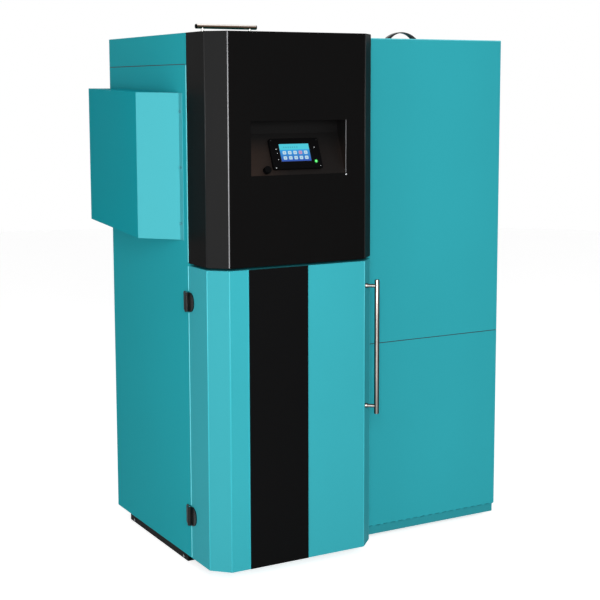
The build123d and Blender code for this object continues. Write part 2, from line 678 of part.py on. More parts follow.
# Drain valve: pipe, body, hose spigot and a stem for the lever
DRAIN_BODY = 30.0
DRAIN_BODY_Y = (BACK + 20.0, BACK + 50.0)
DRAIN_SPIGOT_END = BACK + 84.0
DRAIN_STEM_RADIUS = 4.0
DRAIN_STEM_TOP = DRAIN_Z + DRAIN_BODY / 2 + 12.0
DRAIN_STEM_Y = sum(DRAIN_BODY_Y) / 2
LEVER_REACH = 62.0
LEVER_THICKNESS = 5.0
LEVER_WIDTH = 12.0
LEVER_Z = (DRAIN_Z + DRAIN_BODY / 2 + GAP, DRAIN_STEM_TOP - 3.0)

with BuildPart() as drain_valve:
    rod((DRAIN_X, VESSEL_Y[1] - PLATE, DRAIN_Z), (DRAIN_X, DRAIN_BODY_Y[0], DRAIN_Z), DRAIN_PIPE_RADIUS)
    block(around(DRAIN_X, DRAIN_BODY), DRAIN_BODY_Y, around(DRAIN_Z, DRAIN_BODY))
    fillet(drain_valve.edges().filter_by(Axis.Y), FOLD_RADIUS)
    rod((DRAIN_X, DRAIN_BODY_Y[1], DRAIN_Z), (DRAIN_X, DRAIN_SPIGOT_END, DRAIN_Z), DRAIN_PIPE_RADIUS)
    rod(
        (DRAIN_X, DRAIN_STEM_Y, DRAIN_Z),
        (DRAIN_X, DRAIN_STEM_Y, DRAIN_STEM_TOP),
        DRAIN_STEM_RADIUS,
    )
drain_valve.part.label = "drain_valve"
export_step(drain_valve.part, "parts/drain_valve.step")

with BuildPart() as drain_lever:
    rod((DRAIN_X, DRAIN_STEM_Y, LEVER_Z[0]), (DRAIN_X, DRAIN_STEM_Y, LEVER_Z[1]), LEVER_WIDTH * 0.75)
    block(
        (DRAIN_X - LEVER_REACH, DRAIN_X),
        around(DRAIN_STEM_Y, LEVER_WIDTH),
        (LEVER_Z[0], LEVER_Z[0] + LEVER_THICKNESS),
    )
    fillet(drain_lever.edges().filter_by(Axis.Z).sort_by(Axis.X)[:2], LEVER_WIDTH * 0.45)
    rod(
        (DRAIN_X, DRAIN_STEM_Y, 0),
        (DRAIN_X, DRAIN_STEM_Y, DRAIN_STEM_TOP),
        DRAIN_STEM_RADIUS + RUNNING,
        Mode.SUBTRACT,
    )
drain_lever.part.label = "drain_lever"
export_step(drain_lever.part, "parts/drain_lever.step")

# Connection box on the rear panel, with glands for the cables below it
BOX_X = across(22.0, 118.0)
BOX_Z = (1290.0, 1390.0)
BOX_DEPTH = 44.0
GLAND_RADIUS = 9.0
GLAND_LENGTH = 18.0
GLAND_BORE = 4.0
GLAND_COUNT = 3
GLAND_PITCH = 30.0

with BuildPart() as connection_box:
    block(BOX_X, (BACK - SHEET, BACK + BOX_DEPTH), BOX_Z)
    fillet(connection_box.faces().sort_by(Axis.Y)[-1].edges(), FOLD_RADIUS)
    for place in range(GLAND_COUNT):
        gland_x = sum(BOX_X) / 2 + (place - (GLAND_COUNT - 1) / 2) * GLAND_PITCH
        gland_y = BACK + BOX_DEPTH / 2
        gland_foot = (gland_x, gland_y, BOX_Z[0] - GLAND_LENGTH)
        rod(gland_foot, (gland_x, gland_y, BOX_Z[0]), GLAND_RADIUS)
        rod(gland_foot, (gland_x, gland_y, BOX_Z[0] + PLATE), GLAND_BORE, Mode.SUBTRACT)
connection_box.part.label = "connection_box"
export_step(connection_box.part, "parts/connection_box.step")

# Burner: air box on feet in the firebox, cast bowl on top of it, igniter in its front
BURNER_X = LEFT + 300.0
BURNER_SIDE = 160.0
BURNER_Z = (FIREBOX_Z[0], 252.0)
BURNER_FOOT = 14.0
BURNER_RUNNER = 14.0
BOWL_RADIUS = 68.0
BOWL_HEIGHT = 36.0
BOWL_WALL = 8.0
BOWL_HOLES = 12
BOWL_HOLE_RADIUS = 4.0
IGNITER_RADIUS = 8.0
IGNITER_Z = 226.0
IGNITER_DEPTH = 60.0
IGNITER_CAP = 14.0

with BuildPart() as burner_body:
    block(around(BURNER_X, BURNER_SIDE), around(TANK_CENTRE_Y, BURNER_SIDE), BURNER_Z)
    fillet(burner_body.edges().filter_by(Axis.Z), PLATE)
    for side in (-1, 1):
        block(
            inside(FIREBOX_X, PLATE + GAP),
            around(TANK_CENTRE_Y + side * BURNER_SIDE / 3, BURNER_RUNNER),
            (BURNER_Z[0], BURNER_Z[0] + BURNER_FOOT),
        )
    igniter_mouth = TANK_CENTRE_Y - BURNER_SIDE / 2
    rod(
        (BURNER_X, igniter_mouth - PLATE, IGNITER_Z),
        (BURNER_X, igniter_mouth + IGNITER_DEPTH, IGNITER_Z),
        IGNITER_RADIUS,
        Mode.SUBTRACT,
    )
burner_body.part.label = "burner_body"
export_step(burner_body.part, "parts/burner_body.step")

with BuildPart(Plane((BURNER_X, TANK_CENTRE_Y, BURNER_Z[1]))) as burner_bowl:
    Cylinder(BOWL_RADIUS, BOWL_HEIGHT, align=(Align.CENTER, Align.CENTER, Align.MIN))
    with Locations((0, 0, BOWL_WALL)):
        Cone(
            BOWL_RADIUS - 3 * BOWL_WALL,
            BOWL_RADIUS - BOWL_WALL,
            BOWL_HEIGHT - BOWL_WALL,
            align=(Align.CENTER, Align.CENTER, Align.MIN),
            mode=Mode.SUBTRACT,
        )
    with PolarLocations((BOWL_RADIUS - 3 * BOWL_WALL) * 0.6, BOWL_HOLES):
        Cylinder(BOWL_HOLE_RADIUS, BOWL_HEIGHT, mode=Mode.SUBTRACT)
burner_bowl.part.label = "burner_bowl"
export_step(burner_bowl.part, "parts/burner_bowl.step")

with BuildPart() as igniter:
    rod(
        (BURNER_X, igniter_mouth - IGNITER_CAP, IGNITER_Z),
        (BURNER_X, igniter_mouth + IGNITER_DEPTH, IGNITER_Z),
        IGNITER_RADIUS,
    )
    rod(
        (BURNER_X, igniter_mouth - 2 * IGNITER_CAP, IGNITER_Z),
        (BURNER_X, igniter_mouth - IGNITER_CAP, IGNITER_Z),
        IGNITER_RADIUS * 1.4,
    )
igniter.part.label = "igniter"
export_step(igniter.part, "parts/igniter.step")

# Drop chute: collar under the auger's spout, then a slope into the furnace above the bowl
CHUTE_WALL = 2.0
CHUTE_TOP = (CHUTE_BEND[0], CHUTE_BEND[1], 600.0)

with BuildPart() as drop_chute:
    with BuildLine() as chute_line:
        Polyline(CHUTE_TOP, CHUTE_BEND, CHUTE_MOUTH)
    with BuildSketch(Plane(origin=CHUTE_TOP, z_dir=(0, 0, -1))):
        Circle(CHUTE_RADIUS)
        Circle(CHUTE_RADIUS - CHUTE_WALL, mode=Mode.SUBTRACT)
    sweep(path=chute_line.line, transition=Transition.RIGHT)
drop_chute.part.label = "drop_chute"
export_step(drop_chute.part, "parts/drop_chute.step")

# Furnace door: cast slab on two lugs, with a bore for the latch's spindle
FURNACE_DOOR_X = across(100.0, 413.0)
FURNACE_DOOR_Y = depth(24.0, 54.0)
FURNACE_DOOR_Z = (199.0, 586.0)
SEAL_WIDTH = 10.0
SEAL_INSET = 4.0
LATCH_X = LEFT + 378.0
LATCH_Z = 392.0
SPINDLE_RADIUS = 6.0

with BuildPart() as furnace_door:
    block(FURNACE_DOOR_X, FURNACE_DOOR_Y, FURNACE_DOOR_Z)
    fillet(furnace_door.edges().filter_by(Axis.Y), 2 * PLATE)
    chamfer(furnace_door.faces().sort_by(Axis.Y)[0].edges(), 2 * SHEET)
    for hinge in FURNACE_HINGES:
        lug_z = around(hinge, LUG_PITCH - LUG_THICKNESS - 2 * GAP)
        block(
            (FURNACE_PIN_X, FURNACE_DOOR_X[0] + 2 * PLATE),
            around(FURNACE_PIN_Y, 2 * LUG_HALF - 2 * GAP),
            lug_z,
        )
        rod(
            (FURNACE_PIN_X, FURNACE_PIN_Y, lug_z[0]),
            (FURNACE_PIN_X, FURNACE_PIN_Y, lug_z[1]),
            LUG_HALF - GAP,
        )
        rod(
            (FURNACE_PIN_X, FURNACE_PIN_Y, lug_z[0] - GAP),
            (FURNACE_PIN_X, FURNACE_PIN_Y, lug_z[1] + GAP),
            FURNACE_PIN_RADIUS + RUNNING,
            Mode.SUBTRACT,
        )
    rod(
        (LATCH_X, FURNACE_DOOR_Y[0] - PLATE, LATCH_Z),
        (LATCH_X, FURNACE_DOOR_Y[1] - 2 * PLATE, LATCH_Z),
        SPINDLE_RADIUS + RUNNING,
        Mode.SUBTRACT,
    )
furnace_door.part.label = "furnace_door"
export_step(furnace_door.part, "parts/furnace_door.step")

with BuildPart() as furnace_seal:
    seal_y = (FURNACE_DOOR_Y[1], VESSEL_Y[0] - GAP)
    rim_x = inside(FURNACE_DOOR_X, SEAL_INSET)
    rim_z = inside(FURNACE_DOOR_Z, SEAL_INSET)
    block(rim_x, seal_y, rim_z)
    fillet(furnace_seal.edges().filter_by(Axis.Y), 2 * PLATE)
    block(inside(rim_x, SEAL_WIDTH), seal_y, inside(rim_z, SEAL_WIDTH), Mode.SUBTRACT)
furnace_seal.part.label = "furnace_seal"
export_step(furnace_seal.part, "parts/furnace_seal.step")

# Latch lever of the furnace door: spindle, hub and a hanging grip
LATCH_HUB_RADIUS = 17.0
LATCH_HUB_Y = (FURNACE_DOOR_Y[0] - 12.0, FURNACE_DOOR_Y[0] - GAP)
LATCH_REACH = 118.0
LATCH_ARM_RADIUS = 6.0
LATCH_GRIP_RADIUS = 10.0
LATCH_GRIP_START = 45.0

with BuildPart() as furnace_latch:
    latch_y = sum(LATCH_HUB_Y) / 2
    rod(
        (LATCH_X, LATCH_HUB_Y[0], LATCH_Z),
        (LATCH_X, LATCH_HUB_Y[1], LATCH_Z),
        LATCH_HUB_RADIUS,
    )
    rod(
        (LATCH_X, LATCH_HUB_Y[0], LATCH_Z),
        (LATCH_X, FURNACE_DOOR_Y[1] - 3 * PLATE, LATCH_Z),
        SPINDLE_RADIUS,
    )
    rod((LATCH_X, latch_y, LATCH_Z - LATCH_REACH), (LATCH_X, latch_y, LATCH_Z), LATCH_ARM_RADIUS - 2 * GAP)
    grip_y = latch_y - LATCH_GRIP_RADIUS + LATCH_ARM_RADIUS
    rod(
        (LATCH_X, grip_y, LATCH_Z - LATCH_REACH),
        (LATCH_X, grip_y, LATCH_Z - LATCH_GRIP_START),
        LATCH_GRIP_RADIUS,
    )
    fillet(furnace_latch.edges().group_by(Axis.Z)[0], 2 * SHEET)
furnace_latch.part.label = "furnace_latch"
export_step(furnace_latch.part, "parts/furnace_latch.step")

# Ash box: sheet drawer with a front plate and a bow handle
ASH_X = across(112.0, 401.0)
ASH_Y = depth(58.0, 440.0)
ASH_Z = (49.0, 160.0)
ASH_FRONT_X = across(92.0, 421.0)
ASH_FRONT_Y = depth(52.0, 58.0)
ASH_FRONT_TOP = 182.0
ASH_BOW_HALF = 55.0
ASH_BOW_REACH = 34.0
ASH_BOW_Z = 118.0
ASH_BOW_RADIUS = 5.0

with BuildPart() as ash_box:
    block(ASH_X, ASH_Y, ASH_Z)
    block(inside(ASH_X, SHEET), inside(ASH_Y, SHEET), (ASH_Z[0] + SHEET, CASING_TOP), Mode.SUBTRACT)
    block(ASH_FRONT_X, ASH_FRONT_Y, (ASH_Z[0], ASH_FRONT_TOP))
    bow_corners = [
        (CENTRE - ASH_BOW_HALF, ASH_FRONT_Y[0] + SHEET, ASH_BOW_Z),
        (CENTRE - ASH_BOW_HALF, ASH_FRONT_Y[0] - ASH_BOW_REACH, ASH_BOW_Z),
        (CENTRE + ASH_BOW_HALF, ASH_FRONT_Y[0] - ASH_BOW_REACH, ASH_BOW_Z),
        (CENTRE + ASH_BOW_HALF, ASH_FRONT_Y[0] + SHEET, ASH_BOW_Z),
    ]
    with BuildLine() as bow_line:
        FilletPolyline(*bow_corners, radius=2.5 * ASH_BOW_RADIUS)
    with BuildSketch(Plane(origin=bow_corners[0], z_dir=(0, -1, 0))):
        Circle(ASH_BOW_RADIUS)
    sweep(path=bow_line.wires()[0])
ash_box.part.label = "ash_box"
export_step(ash_box.part, "parts/ash_box.step")

# Deep fronts: lower door and upper cover share one chamfered plan outline
FRONT_BACK_Y = FRONT - DOOR_GAP
FRONT_FACE_Y = FRONT - DOOR_DEPTH
SIDE_RETURN = 18.0
TOP_RETURN = 14.0


def front_outline(skin):
    """Corners of the deep front's plan, drawn in by skin on every side."""
    slope_shift = skin * math.tan(math.radians(22.5))
    corner_y = FRONT - DOOR_SIDE - slope_shift
    face_y = FRONT_FACE_Y + skin
    chamfer_x = CHAMFER + slope_shift
    return [
        (LEFT + skin, FRONT_BACK_Y - skin),
        (LEFT + skin, corner_y + 2 * slope_shift),
        (LEFT + chamfer_x, face_y),
        (RIGHT - chamfer_x, face_y),
        (RIGHT - skin, corner_y + 2 * slope_shift),
        (RIGHT - skin, FRONT_BACK_Y - skin),
    ]


def deep_front(foot, top):
    """Fold a deep front between the heights foot and top: closed at its ends, open at the back."""
    with BuildSketch(Plane.XY.offset(foot)) as outer:
        with BuildLine():
            Polyline(*front_outline(0), close=True)
        make_face()
        fillet(outer.vertices().group_by(Axis.Y)[0], FOLD_RADIUS)
    extrude(outer.sketch, amount=top - foot)
    with BuildSketch(Plane.XY.offset(foot + SHEET)) as hollow:
        with BuildLine():
            Polyline(*front_outline(SHEET), close=True)
        make_face()
    extrude(hollow.sketch, amount=top - foot - 2 * SHEET, mode=Mode.SUBTRACT)
    block(
        across(SIDE_RETURN, BOILER_WIDTH - SIDE_RETURN),
        (FRONT_BACK_Y - 2 * SHEET, FRONT_BACK_Y + SHEET),
        (foot + SHEET, top - TOP_RETURN),
        Mode.SUBTRACT,
    )


with BuildPart() as lower_door:
    deep_front(PANEL_FOOT, DOOR_TOP)
lower_door.part.label = "lower_door"
export_step(lower_door.part, "parts/lower_door.step")

# Black stripe down the lower door's front
STRIPE_X = across(103.0, 284.0)
STRIPE_THICKNESS = 2.0

with BuildPart() as door_stripe:
    block(STRIPE_X, (FRONT_FACE_Y - STRIPE_THICKNESS, FRONT_FACE_Y), (PANEL_FOOT, DOOR_TOP))
    chamfer(door_stripe.faces().sort_by(Axis.Y)[0].edges(), STRIPE_THICKNESS / 4)
door_stripe.part.label = "door_stripe"
export_step(door_stripe.part, "parts/door_stripe.step")

# Heat shield inside the lower door: a shallow pan against the door's front sheet
SHIELD_X = across(64.0, 449.0)
SHIELD_Z = (80.0, 840.0)
SHIELD_DEPTH = 12.0

with BuildPart() as door_shield:
    shield_y = (FRONT_FACE_Y + SHEET, FRONT_FACE_Y + SHEET + SHIELD_DEPTH)
    block(SHIELD_X, shield_y, SHIELD_Z)
    fillet(door_shield.edges().filter_by(Axis.Y), PLATE)
    block(
        inside(SHIELD_X, SHEET),
        (shield_y[0], shield_y[1] - SHEET),
        inside(SHIELD_Z, SHEET),
        Mode.SUBTRACT,
    )
door_shield.part.label = "door_shield"
export_step(door_shield.part, "parts/door_shield.step")

# Bar handle of the lower door: bar and posts on the right chamfer, near its front edge
DOOR_BAR_Z = (435.5, 819.5)
DOOR_POSTS_Z = (457.5, 801.5)
POST_RADIUS = 5.0
POST_FOOT_X = RIGHT - CHAMFER + HANDLE_INSET
POST_FOOT_Y = FRONT - DOOR_DEPTH + HANDLE_INSET
BAR_X = POST_FOOT_X + HANDLE_STAND_OFF * DIAGONAL
BAR_Y = POST_FOOT_Y - HANDLE_STAND_OFF * DIAGONAL

with BuildPart() as door_handle_bar:
    rod((BAR_X, BAR_Y, DOOR_BAR_Z[0]), (BAR_X, BAR_Y, DOOR_BAR_Z[1]), HANDLE_RADIUS)
    chamfer(door_handle_bar.edges().filter_by(GeomType.CIRCLE), SHEET / 2)
door_handle_bar.part.label = "door_handle_bar"
export_step(door_handle_bar.part, "parts/door_handle_bar.step")

with BuildPart() as door_handle_posts:
    for height in DOOR_POSTS_Z:
        rod((POST_FOOT_X, POST_FOOT_Y, height), (BAR_X, BAR_Y, height), POST_RADIUS)
    rod((BAR_X, BAR_Y, DOOR_BAR_Z[0]), (BAR_X, BAR_Y, DOOR_BAR_Z[1]), HANDLE_RADIUS, Mode.SUBTRACT)
door_handle_posts.part.label = "door_handle_posts"
export_step(door_handle_posts.part, "parts/door_handle_posts.step")

# Hinges of the lower door: black leaves with a shared barrel on the left edge
HINGE_PIN_X = LEFT - 6.4
HINGE_BARREL = 6.0
HINGE_PIN_RADIUS = 3.0
HINGE_HEIGHT = 54.0
HINGE_FEET = (141.0, 746.0)
LEAF_THICKNESS = 3.2
LEAF_START = 7.0
CASING_LEAF_END = 28.0
CASING_LEAF_CORNER = 5.0
DOOR_LEAF_END = 34.0
DOOR_LEAF_CORNER = 24.0
KNUCKLES = 3


def hinge_leaf(foot, towards, knuckles):
    """Add a leaf behind (towards 1) or before (towards -1) the seam, with its knuckles of the barrel."""
    leaf_end = CASING_LEAF_END if towards > 0 else DOOR_LEAF_END
    leaf_corner = CASING_LEAF_CORNER if towards > 0 else DOOR_LEAF_CORNER
    leaf_y = sorted((FRONT + towards * LEAF_START, FRONT + towards * leaf_end))
    with BuildSketch(Plane(origin=(LEFT, 0, 0), x_dir=(0, 1, 0), z_dir=(1, 0, 0))) as leaf:
        with Locations(((leaf_y[0] + leaf_y[1]) / 2, foot + HINGE_HEIGHT / 2)):
            Rectangle(leaf_y[1] - leaf_y[0], HINGE_HEIGHT)
        far_corners = leaf.vertices().sort_by(Axis.X)
        fillet(far_corners[-2:] if towards > 0 else far_corners[:2], leaf_corner)
    extrude(leaf.sketch, amount=-LEAF_THICKNESS)
    knuckle_height = HINGE_HEIGHT / KNUCKLES
    for knuckle in knuckles:
        z = (
            foot + knuckle * knuckle_height + GAP / 2,
            foot + (knuckle + 1) * knuckle_height - GAP / 2,
        )
        rod((HINGE_PIN_X, FRONT, z[0]), (HINGE_PIN_X, FRONT, z[1]), HINGE_BARREL)
        block((HINGE_PIN_X, LEFT - GAP), sorted((FRONT, FRONT + towards * (LEAF_START + GAP))), z)


with BuildPart() as casing_hinge_leaves:
    for foot in HINGE_FEET:
        hinge_leaf(foot, 1, (0, 2))
        rod(
            (HINGE_PIN_X, FRONT, foot),
            (HINGE_PIN_X, FRONT, foot + HINGE_HEIGHT),
            HINGE_PIN_RADIUS,
            Mode.SUBTRACT,
        )
casing_hinge_leaves.part.label = "casing_hinge_leaves"
export_step(casing_hinge_leaves.part, "parts/casing_hinge_leaves.step")

with BuildPart() as door_hinge_leaves:
    for foot in HINGE_FEET:
        hinge_leaf(foot, -1, (1,))
        rod(
            (HINGE_PIN_X, FRONT, foot),
            (HINGE_PIN_X, FRONT, foot + HINGE_HEIGHT),
            HINGE_PIN_RADIUS + RUNNING,
            Mode.SUBTRACT,
        )
door_hinge_leaves.part.label = "door_hinge_leaves"
export_step(door_hinge_leaves.part, "parts/door_hinge_leaves.step")

with BuildPart() as hinge_pins:
    for foot in HINGE_FEET:
        rod((HINGE_PIN_X, FRONT, foot), (HINGE_PIN_X, FRONT, foot + HINGE_HEIGHT), HINGE_PIN_RADIUS)
hinge_pins.part.label = "hinge_pins"
export_step(hinge_pins.part, "parts/hinge_pins.step")

# Magnets on the casing that hold the lower door's right edge
MAGNET_X = across(496.0, 510.0)
MAGNET_LENGTH = 60.0
MAGNET_PLACES = (180.0, 460.0, 740.0)

with BuildPart() as door_magnets:
    for place in MAGNET_PLACES:
        block(MAGNET_X, (FRONT_BACK_Y + GAP, FRONT), around(place, MAGNET_LENGTH))
door_magnets.part.label = "door_magnets"
export_step(door_magnets.part, "parts/door_magnets.step")

# Upper cover: deep front with a window for the console
RECESS_X = across(112.0, 405.0)
RECESS_Z = (1121.0, 1266.0)
CONSOLE_TOP_Z = 1231.0
CONSOLE_TOP_Y = FRONT - 113.0

with BuildPart() as upper_cover:
    deep_front(COVER_FOOT, CASING_TOP)
    block(RECESS_X, (FRONT_FACE_Y - SHEET, FRONT_FACE_Y + 2 * SHEET), RECESS_Z, Mode.SUBTRACT)
upper_cover.part.label = "upper_cover"
export_step(upper_cover.part, "parts/upper_cover.step")

# Console: sloped face, back wall and ceiling of the recess, closed by two cheeks
RIM = 10.0
BUSH_NECK_RADIUS = 7.0
BUTTON_RADIUS = 3.0
CAP_PLACE = (160.0, 13.0)
NECK_HEIGHT = 7.0
CONSOLE_START_Y = FRONT_FACE_Y + SHEET
CONSOLE_RISE = CONSOLE_TOP_Z - RECESS_Z[0]
CONSOLE_RUN = CONSOLE_TOP_Y - CONSOLE_START_Y
CONSOLE_SLOPE = math.hypot(CONSOLE_RISE, CONSOLE_RUN)
OUTWARD = Vector(0, -CONSOLE_RISE / CONSOLE_SLOPE, CONSOLE_RUN / CONSOLE_SLOPE)
CONSOLE_PLANE = Plane(
    origin=(LEFT, CONSOLE_START_Y, RECESS_Z[0]),
    x_dir=(1, 0, 0),
    z_dir=OUTWARD,
)
SIDE_VIEW = Plane(origin=(RECESS_X[0], 0, 0), x_dir=(0, 1, 0), z_dir=(1, 0, 0))

with BuildPart() as console_panel:
    recess_outline = [
        (CONSOLE_START_Y, RECESS_Z[0]),
        (CONSOLE_TOP_Y, CONSOLE_TOP_Z),
        (CONSOLE_TOP_Y, RECESS_Z[1]),
        (CONSOLE_START_Y, RECESS_Z[1]),
    ]
    with BuildSketch(SIDE_VIEW):
        with BuildLine():
            Polyline(
                (CONSOLE_START_Y, RECESS_Z[0] - 2 * SHEET),
                (CONSOLE_TOP_Y + SHEET, CONSOLE_TOP_Z - SHEET),
                (CONSOLE_TOP_Y + SHEET, RECESS_Z[1] + SHEET),
                (CONSOLE_START_Y, RECESS_Z[1] + SHEET),
                close=True,
            )
        make_face()
    extrude(amount=RECESS_X[1] - RECESS_X[0] + SHEET)
    extrude(to_extrude=console_panel.faces().sort_by(Axis.X)[0], amount=SHEET)
    block(
        (RECESS_X[0] - RIM, RECESS_X[1] + RIM),
        (CONSOLE_START_Y, CONSOLE_START_Y + SHEET),
        (RECESS_Z[0] - RIM, RECESS_Z[1] + RIM),
    )
    with BuildSketch(SIDE_VIEW):
        with BuildLine():
            Polyline(*recess_outline, close=True)
        make_face()
    extrude(amount=RECESS_X[1] - RECESS_X[0], mode=Mode.SUBTRACT)
    with BuildSketch(CONSOLE_PLANE):
        with Locations(CAP_PLACE):
            Circle(BUSH_NECK_RADIUS)
    extrude(amount=NECK_HEIGHT)
    with BuildSketch(CONSOLE_PLANE.offset(NECK_HEIGHT)):
        with Locations(CAP_PLACE):
            Circle(BUTTON_RADIUS + RUNNING)
    extrude(amount=-NECK_HEIGHT - 4 * SHEET, mode=Mode.SUBTRACT)
console_panel.part.label = "console_panel"
export_step(console_panel.part, "parts/console_panel.step")

# Controller on the console: bezel with a pocket for the screen, and its lamps
BEZEL_X = (181.0, 333.0)
BEZEL_T = (14.0, 101.0)
BEZEL_THICKNESS = 9.0
BEZEL_CORNER = 5.0
SCREEN_X = (207.0, 301.0)
SCREEN_T = (34.5, 85.5)
SCREEN_DEPTH = 2.0
LAMP_HEIGHT = 0.8
LAMP_PLACES = [
    (314.0, 33.7, 2.6),
    (316.0, 73.5, 1.6),
    (199.0, 62.0, 1.2),
    (199.0, 51.0, 1.2),
    (199.0, 43.0, 1.2),
]

with BuildPart() as controller_bezel:
    with BuildSketch(CONSOLE_PLANE):
        with Locations((sum(BEZEL_X) / 2, sum(BEZEL_T) / 2)):
            RectangleRounded(BEZEL_X[1] - BEZEL_X[0], BEZEL_T[1] - BEZEL_T[0], BEZEL_CORNER)
    extrude(amount=BEZEL_THICKNESS)
    chamfer(controller_bezel.faces().sort_by(Axis(CONSOLE_PLANE.origin, OUTWARD))[-1].edges(), SHEET)
    with BuildSketch(CONSOLE_PLANE.offset(BEZEL_THICKNESS)):
        with Locations((sum(SCREEN_X) / 2, sum(SCREEN_T) / 2)):
            Rectangle(SCREEN_X[1] - SCREEN_X[0], SCREEN_T[1] - SCREEN_T[0])
    extrude(amount=-SCREEN_DEPTH, mode=Mode.SUBTRACT)
controller_bezel.part.label = "controller_bezel"
export_step(controller_bezel.part, "parts/controller_bezel.step")

with BuildPart() as screen_glass:
    with BuildSketch(CONSOLE_PLANE.offset(BEZEL_THICKNESS - SCREEN_DEPTH)):
        with Locations((sum(SCREEN_X) / 2, sum(SCREEN_T) / 2)):
            Rectangle(SCREEN_X[1] - SCREEN_X[0], SCREEN_T[1] - SCREEN_T[0])
    extrude(amount=SCREEN_DEPTH - GAP)
screen_glass.part.label = "screen_glass"
export_step(screen_glass.part, "parts/screen_glass.step")

with BuildPart() as status_lamps:
    with BuildSketch(CONSOLE_PLANE.offset(BEZEL_THICKNESS)):
        for place_x, place_t, radius in LAMP_PLACES:
            with Locations((place_x, place_t)):
                Circle(radius)
    extrude(amount=LAMP_HEIGHT)
status_lamps.part.label = "status_lamps"
export_step(status_lamps.part, "parts/status_lamps.step")

# Safety thermostat: screw cap over the reset button's neck, and the button
CAP_RADIUS = 10.0
CAP_HEIGHT = 14.0
CAP_ROOF = 3.0
CAP_LIFT = 0.3
CAP_GROOVES = 18
CAP_GROOVE_RADIUS = 0.8
BUTTON_INSIDE = 4.0
BUTTON_STAND = 2.0

with BuildPart() as thermostat_cap:
    with BuildSketch(CONSOLE_PLANE.offset(CAP_LIFT)):
        with Locations(CAP_PLACE):
            Circle(CAP_RADIUS)
            with PolarLocations(CAP_RADIUS, CAP_GROOVES):
                Circle(CAP_GROOVE_RADIUS, mode=Mode.SUBTRACT)
    extrude(amount=CAP_HEIGHT)
    with BuildSketch(CONSOLE_PLANE.offset(CAP_LIFT)):
        with Locations(CAP_PLACE):
            Circle(BUSH_NECK_RADIUS + RUNNING)
    extrude(amount=CAP_HEIGHT - CAP_ROOF, mode=Mode.SUBTRACT)
thermostat_cap.part.label = "thermostat_cap"
export_step(thermostat_cap.part, "parts/thermostat_cap.step")

with BuildPart() as reset_button:
    with BuildSketch(CONSOLE_PLANE.offset(-BUTTON_INSIDE)):
        with Locations(CAP_PLACE):
            Circle(BUTTON_RADIUS)
    extrude(amount=BUTTON_INSIDE + NECK_HEIGHT + BUTTON_STAND)
reset_button.part.label = "reset_button"
export_step(reset_button.part, "parts/reset_button.step")

# Top cover: cap with a skirt all round
with BuildPart() as top_cover:
    block((LEFT, RIGHT), (FRONT, BACK), (CAP_SEAM, CASING_TOP))
    fillet(top_cover.faces().sort_by(Axis.Z)[-1].edges(), SHEET)
    block(
        inside((LEFT, RIGHT), SHEET),
        inside((FRONT, BACK), SHEET),
        (0, CASING_TOP - SHEET),
        Mode.SUBTRACT,
    )
top_cover.part.label = "top_cover"
export_step(top_cover.part, "parts/top_cover.step")

TOP_BAR_X = across(162.5, 362.0)
TOP_POSTS = (185.0, 339.5)
TOP_BAR_Y = FRONT + 285.0
TOP_BAR_Z = CASING_TOP + 32.0

with BuildPart() as top_handle:
    rod((TOP_BAR_X[0], TOP_BAR_Y, TOP_BAR_Z), (TOP_BAR_X[1], TOP_BAR_Y, TOP_BAR_Z), HANDLE_RADIUS)
    chamfer(top_handle.edges().filter_by(GeomType.CIRCLE), SHEET / 2)
    for place in TOP_POSTS:
        rod((LEFT + place, TOP_BAR_Y, CASING_TOP), (LEFT + place, TOP_BAR_Y, TOP_BAR_Z), POST_RADIUS)
top_handle.part.label = "top_handle"
export_step(top_handle.part, "parts/top_handle.step")

# Tank shell: one sheet round the left, back and right, with returns and weld-on hinge barrels
TANK_WALL_X = (TANK_LEFT, TANK_RIGHT)
TANK_WALL_Y = (TANK_FRONT + SHEET + GAP, TANK_BACK)
TANK_WALL_TOP = TANK_TOP - SHEET - GAP
BOTTOM_FLANGE = 12.0
LID_PIN_Y = TANK_BACK + 6.0
LID_PIN_Z = TANK_TOP - 5.5
LID_BARREL = 5.0
LID_PIN_RADIUS = 2.5
LID_HINGES = (TANK_MIDDLE - 150.0, TANK_MIDDLE + 150.0)
LID_KNUCKLE = 30.0

with BuildPart() as tank_shell:
    block(TANK_WALL_X, TANK_WALL_Y, (TANK_FOOT, TANK_WALL_TOP))
    block(
        inside(TANK_WALL_X, SHEET),
        (TANK_WALL_Y[0] + SHEET, TANK_WALL_Y[1] - SHEET),
        (TANK_FOOT + SHEET, CASING_TOP),
        Mode.SUBTRACT,
    )
    block(
        inside(TANK_WALL_X, PANEL_RETURN),
        (TANK_WALL_Y[0] - SHEET, TANK_WALL_Y[0] + 2 * SHEET),
        (0, CASING_TOP),
        Mode.SUBTRACT,
    )
    block(
        inside(TANK_WALL_X, BOTTOM_FLANGE),
        (TANK_WALL_Y[0], TANK_WALL_Y[1] - BOTTOM_FLANGE),
        (0, TANK_FOOT + 2 * SHEET),
        Mode.SUBTRACT,
    )
    rod(CHUTE_MOUTH, CHUTE_BEND, CHUTE_RADIUS + CHUTE_CLEARANCE, Mode.SUBTRACT)
    for hinge in LID_HINGES:
        barrel_x = (hinge + GAP, hinge + LID_KNUCKLE)
        rod((barrel_x[0], LID_PIN_Y, LID_PIN_Z), (barrel_x[1], LID_PIN_Y, LID_PIN_Z), LID_BARREL)
        block(barrel_x, (TANK_BACK - SHEET, LID_PIN_Y), (LID_PIN_Z - LID_BARREL, LID_PIN_Z))
        rod(
            (hinge - LID_KNUCKLE, LID_PIN_Y, LID_PIN_Z),
            (hinge + GAP, LID_PIN_Y, LID_PIN_Z),
            LID_PIN_RADIUS,
        )
tank_shell.part.label = "tank_shell"
export_step(tank_shell.part, "parts/tank_shell.step")

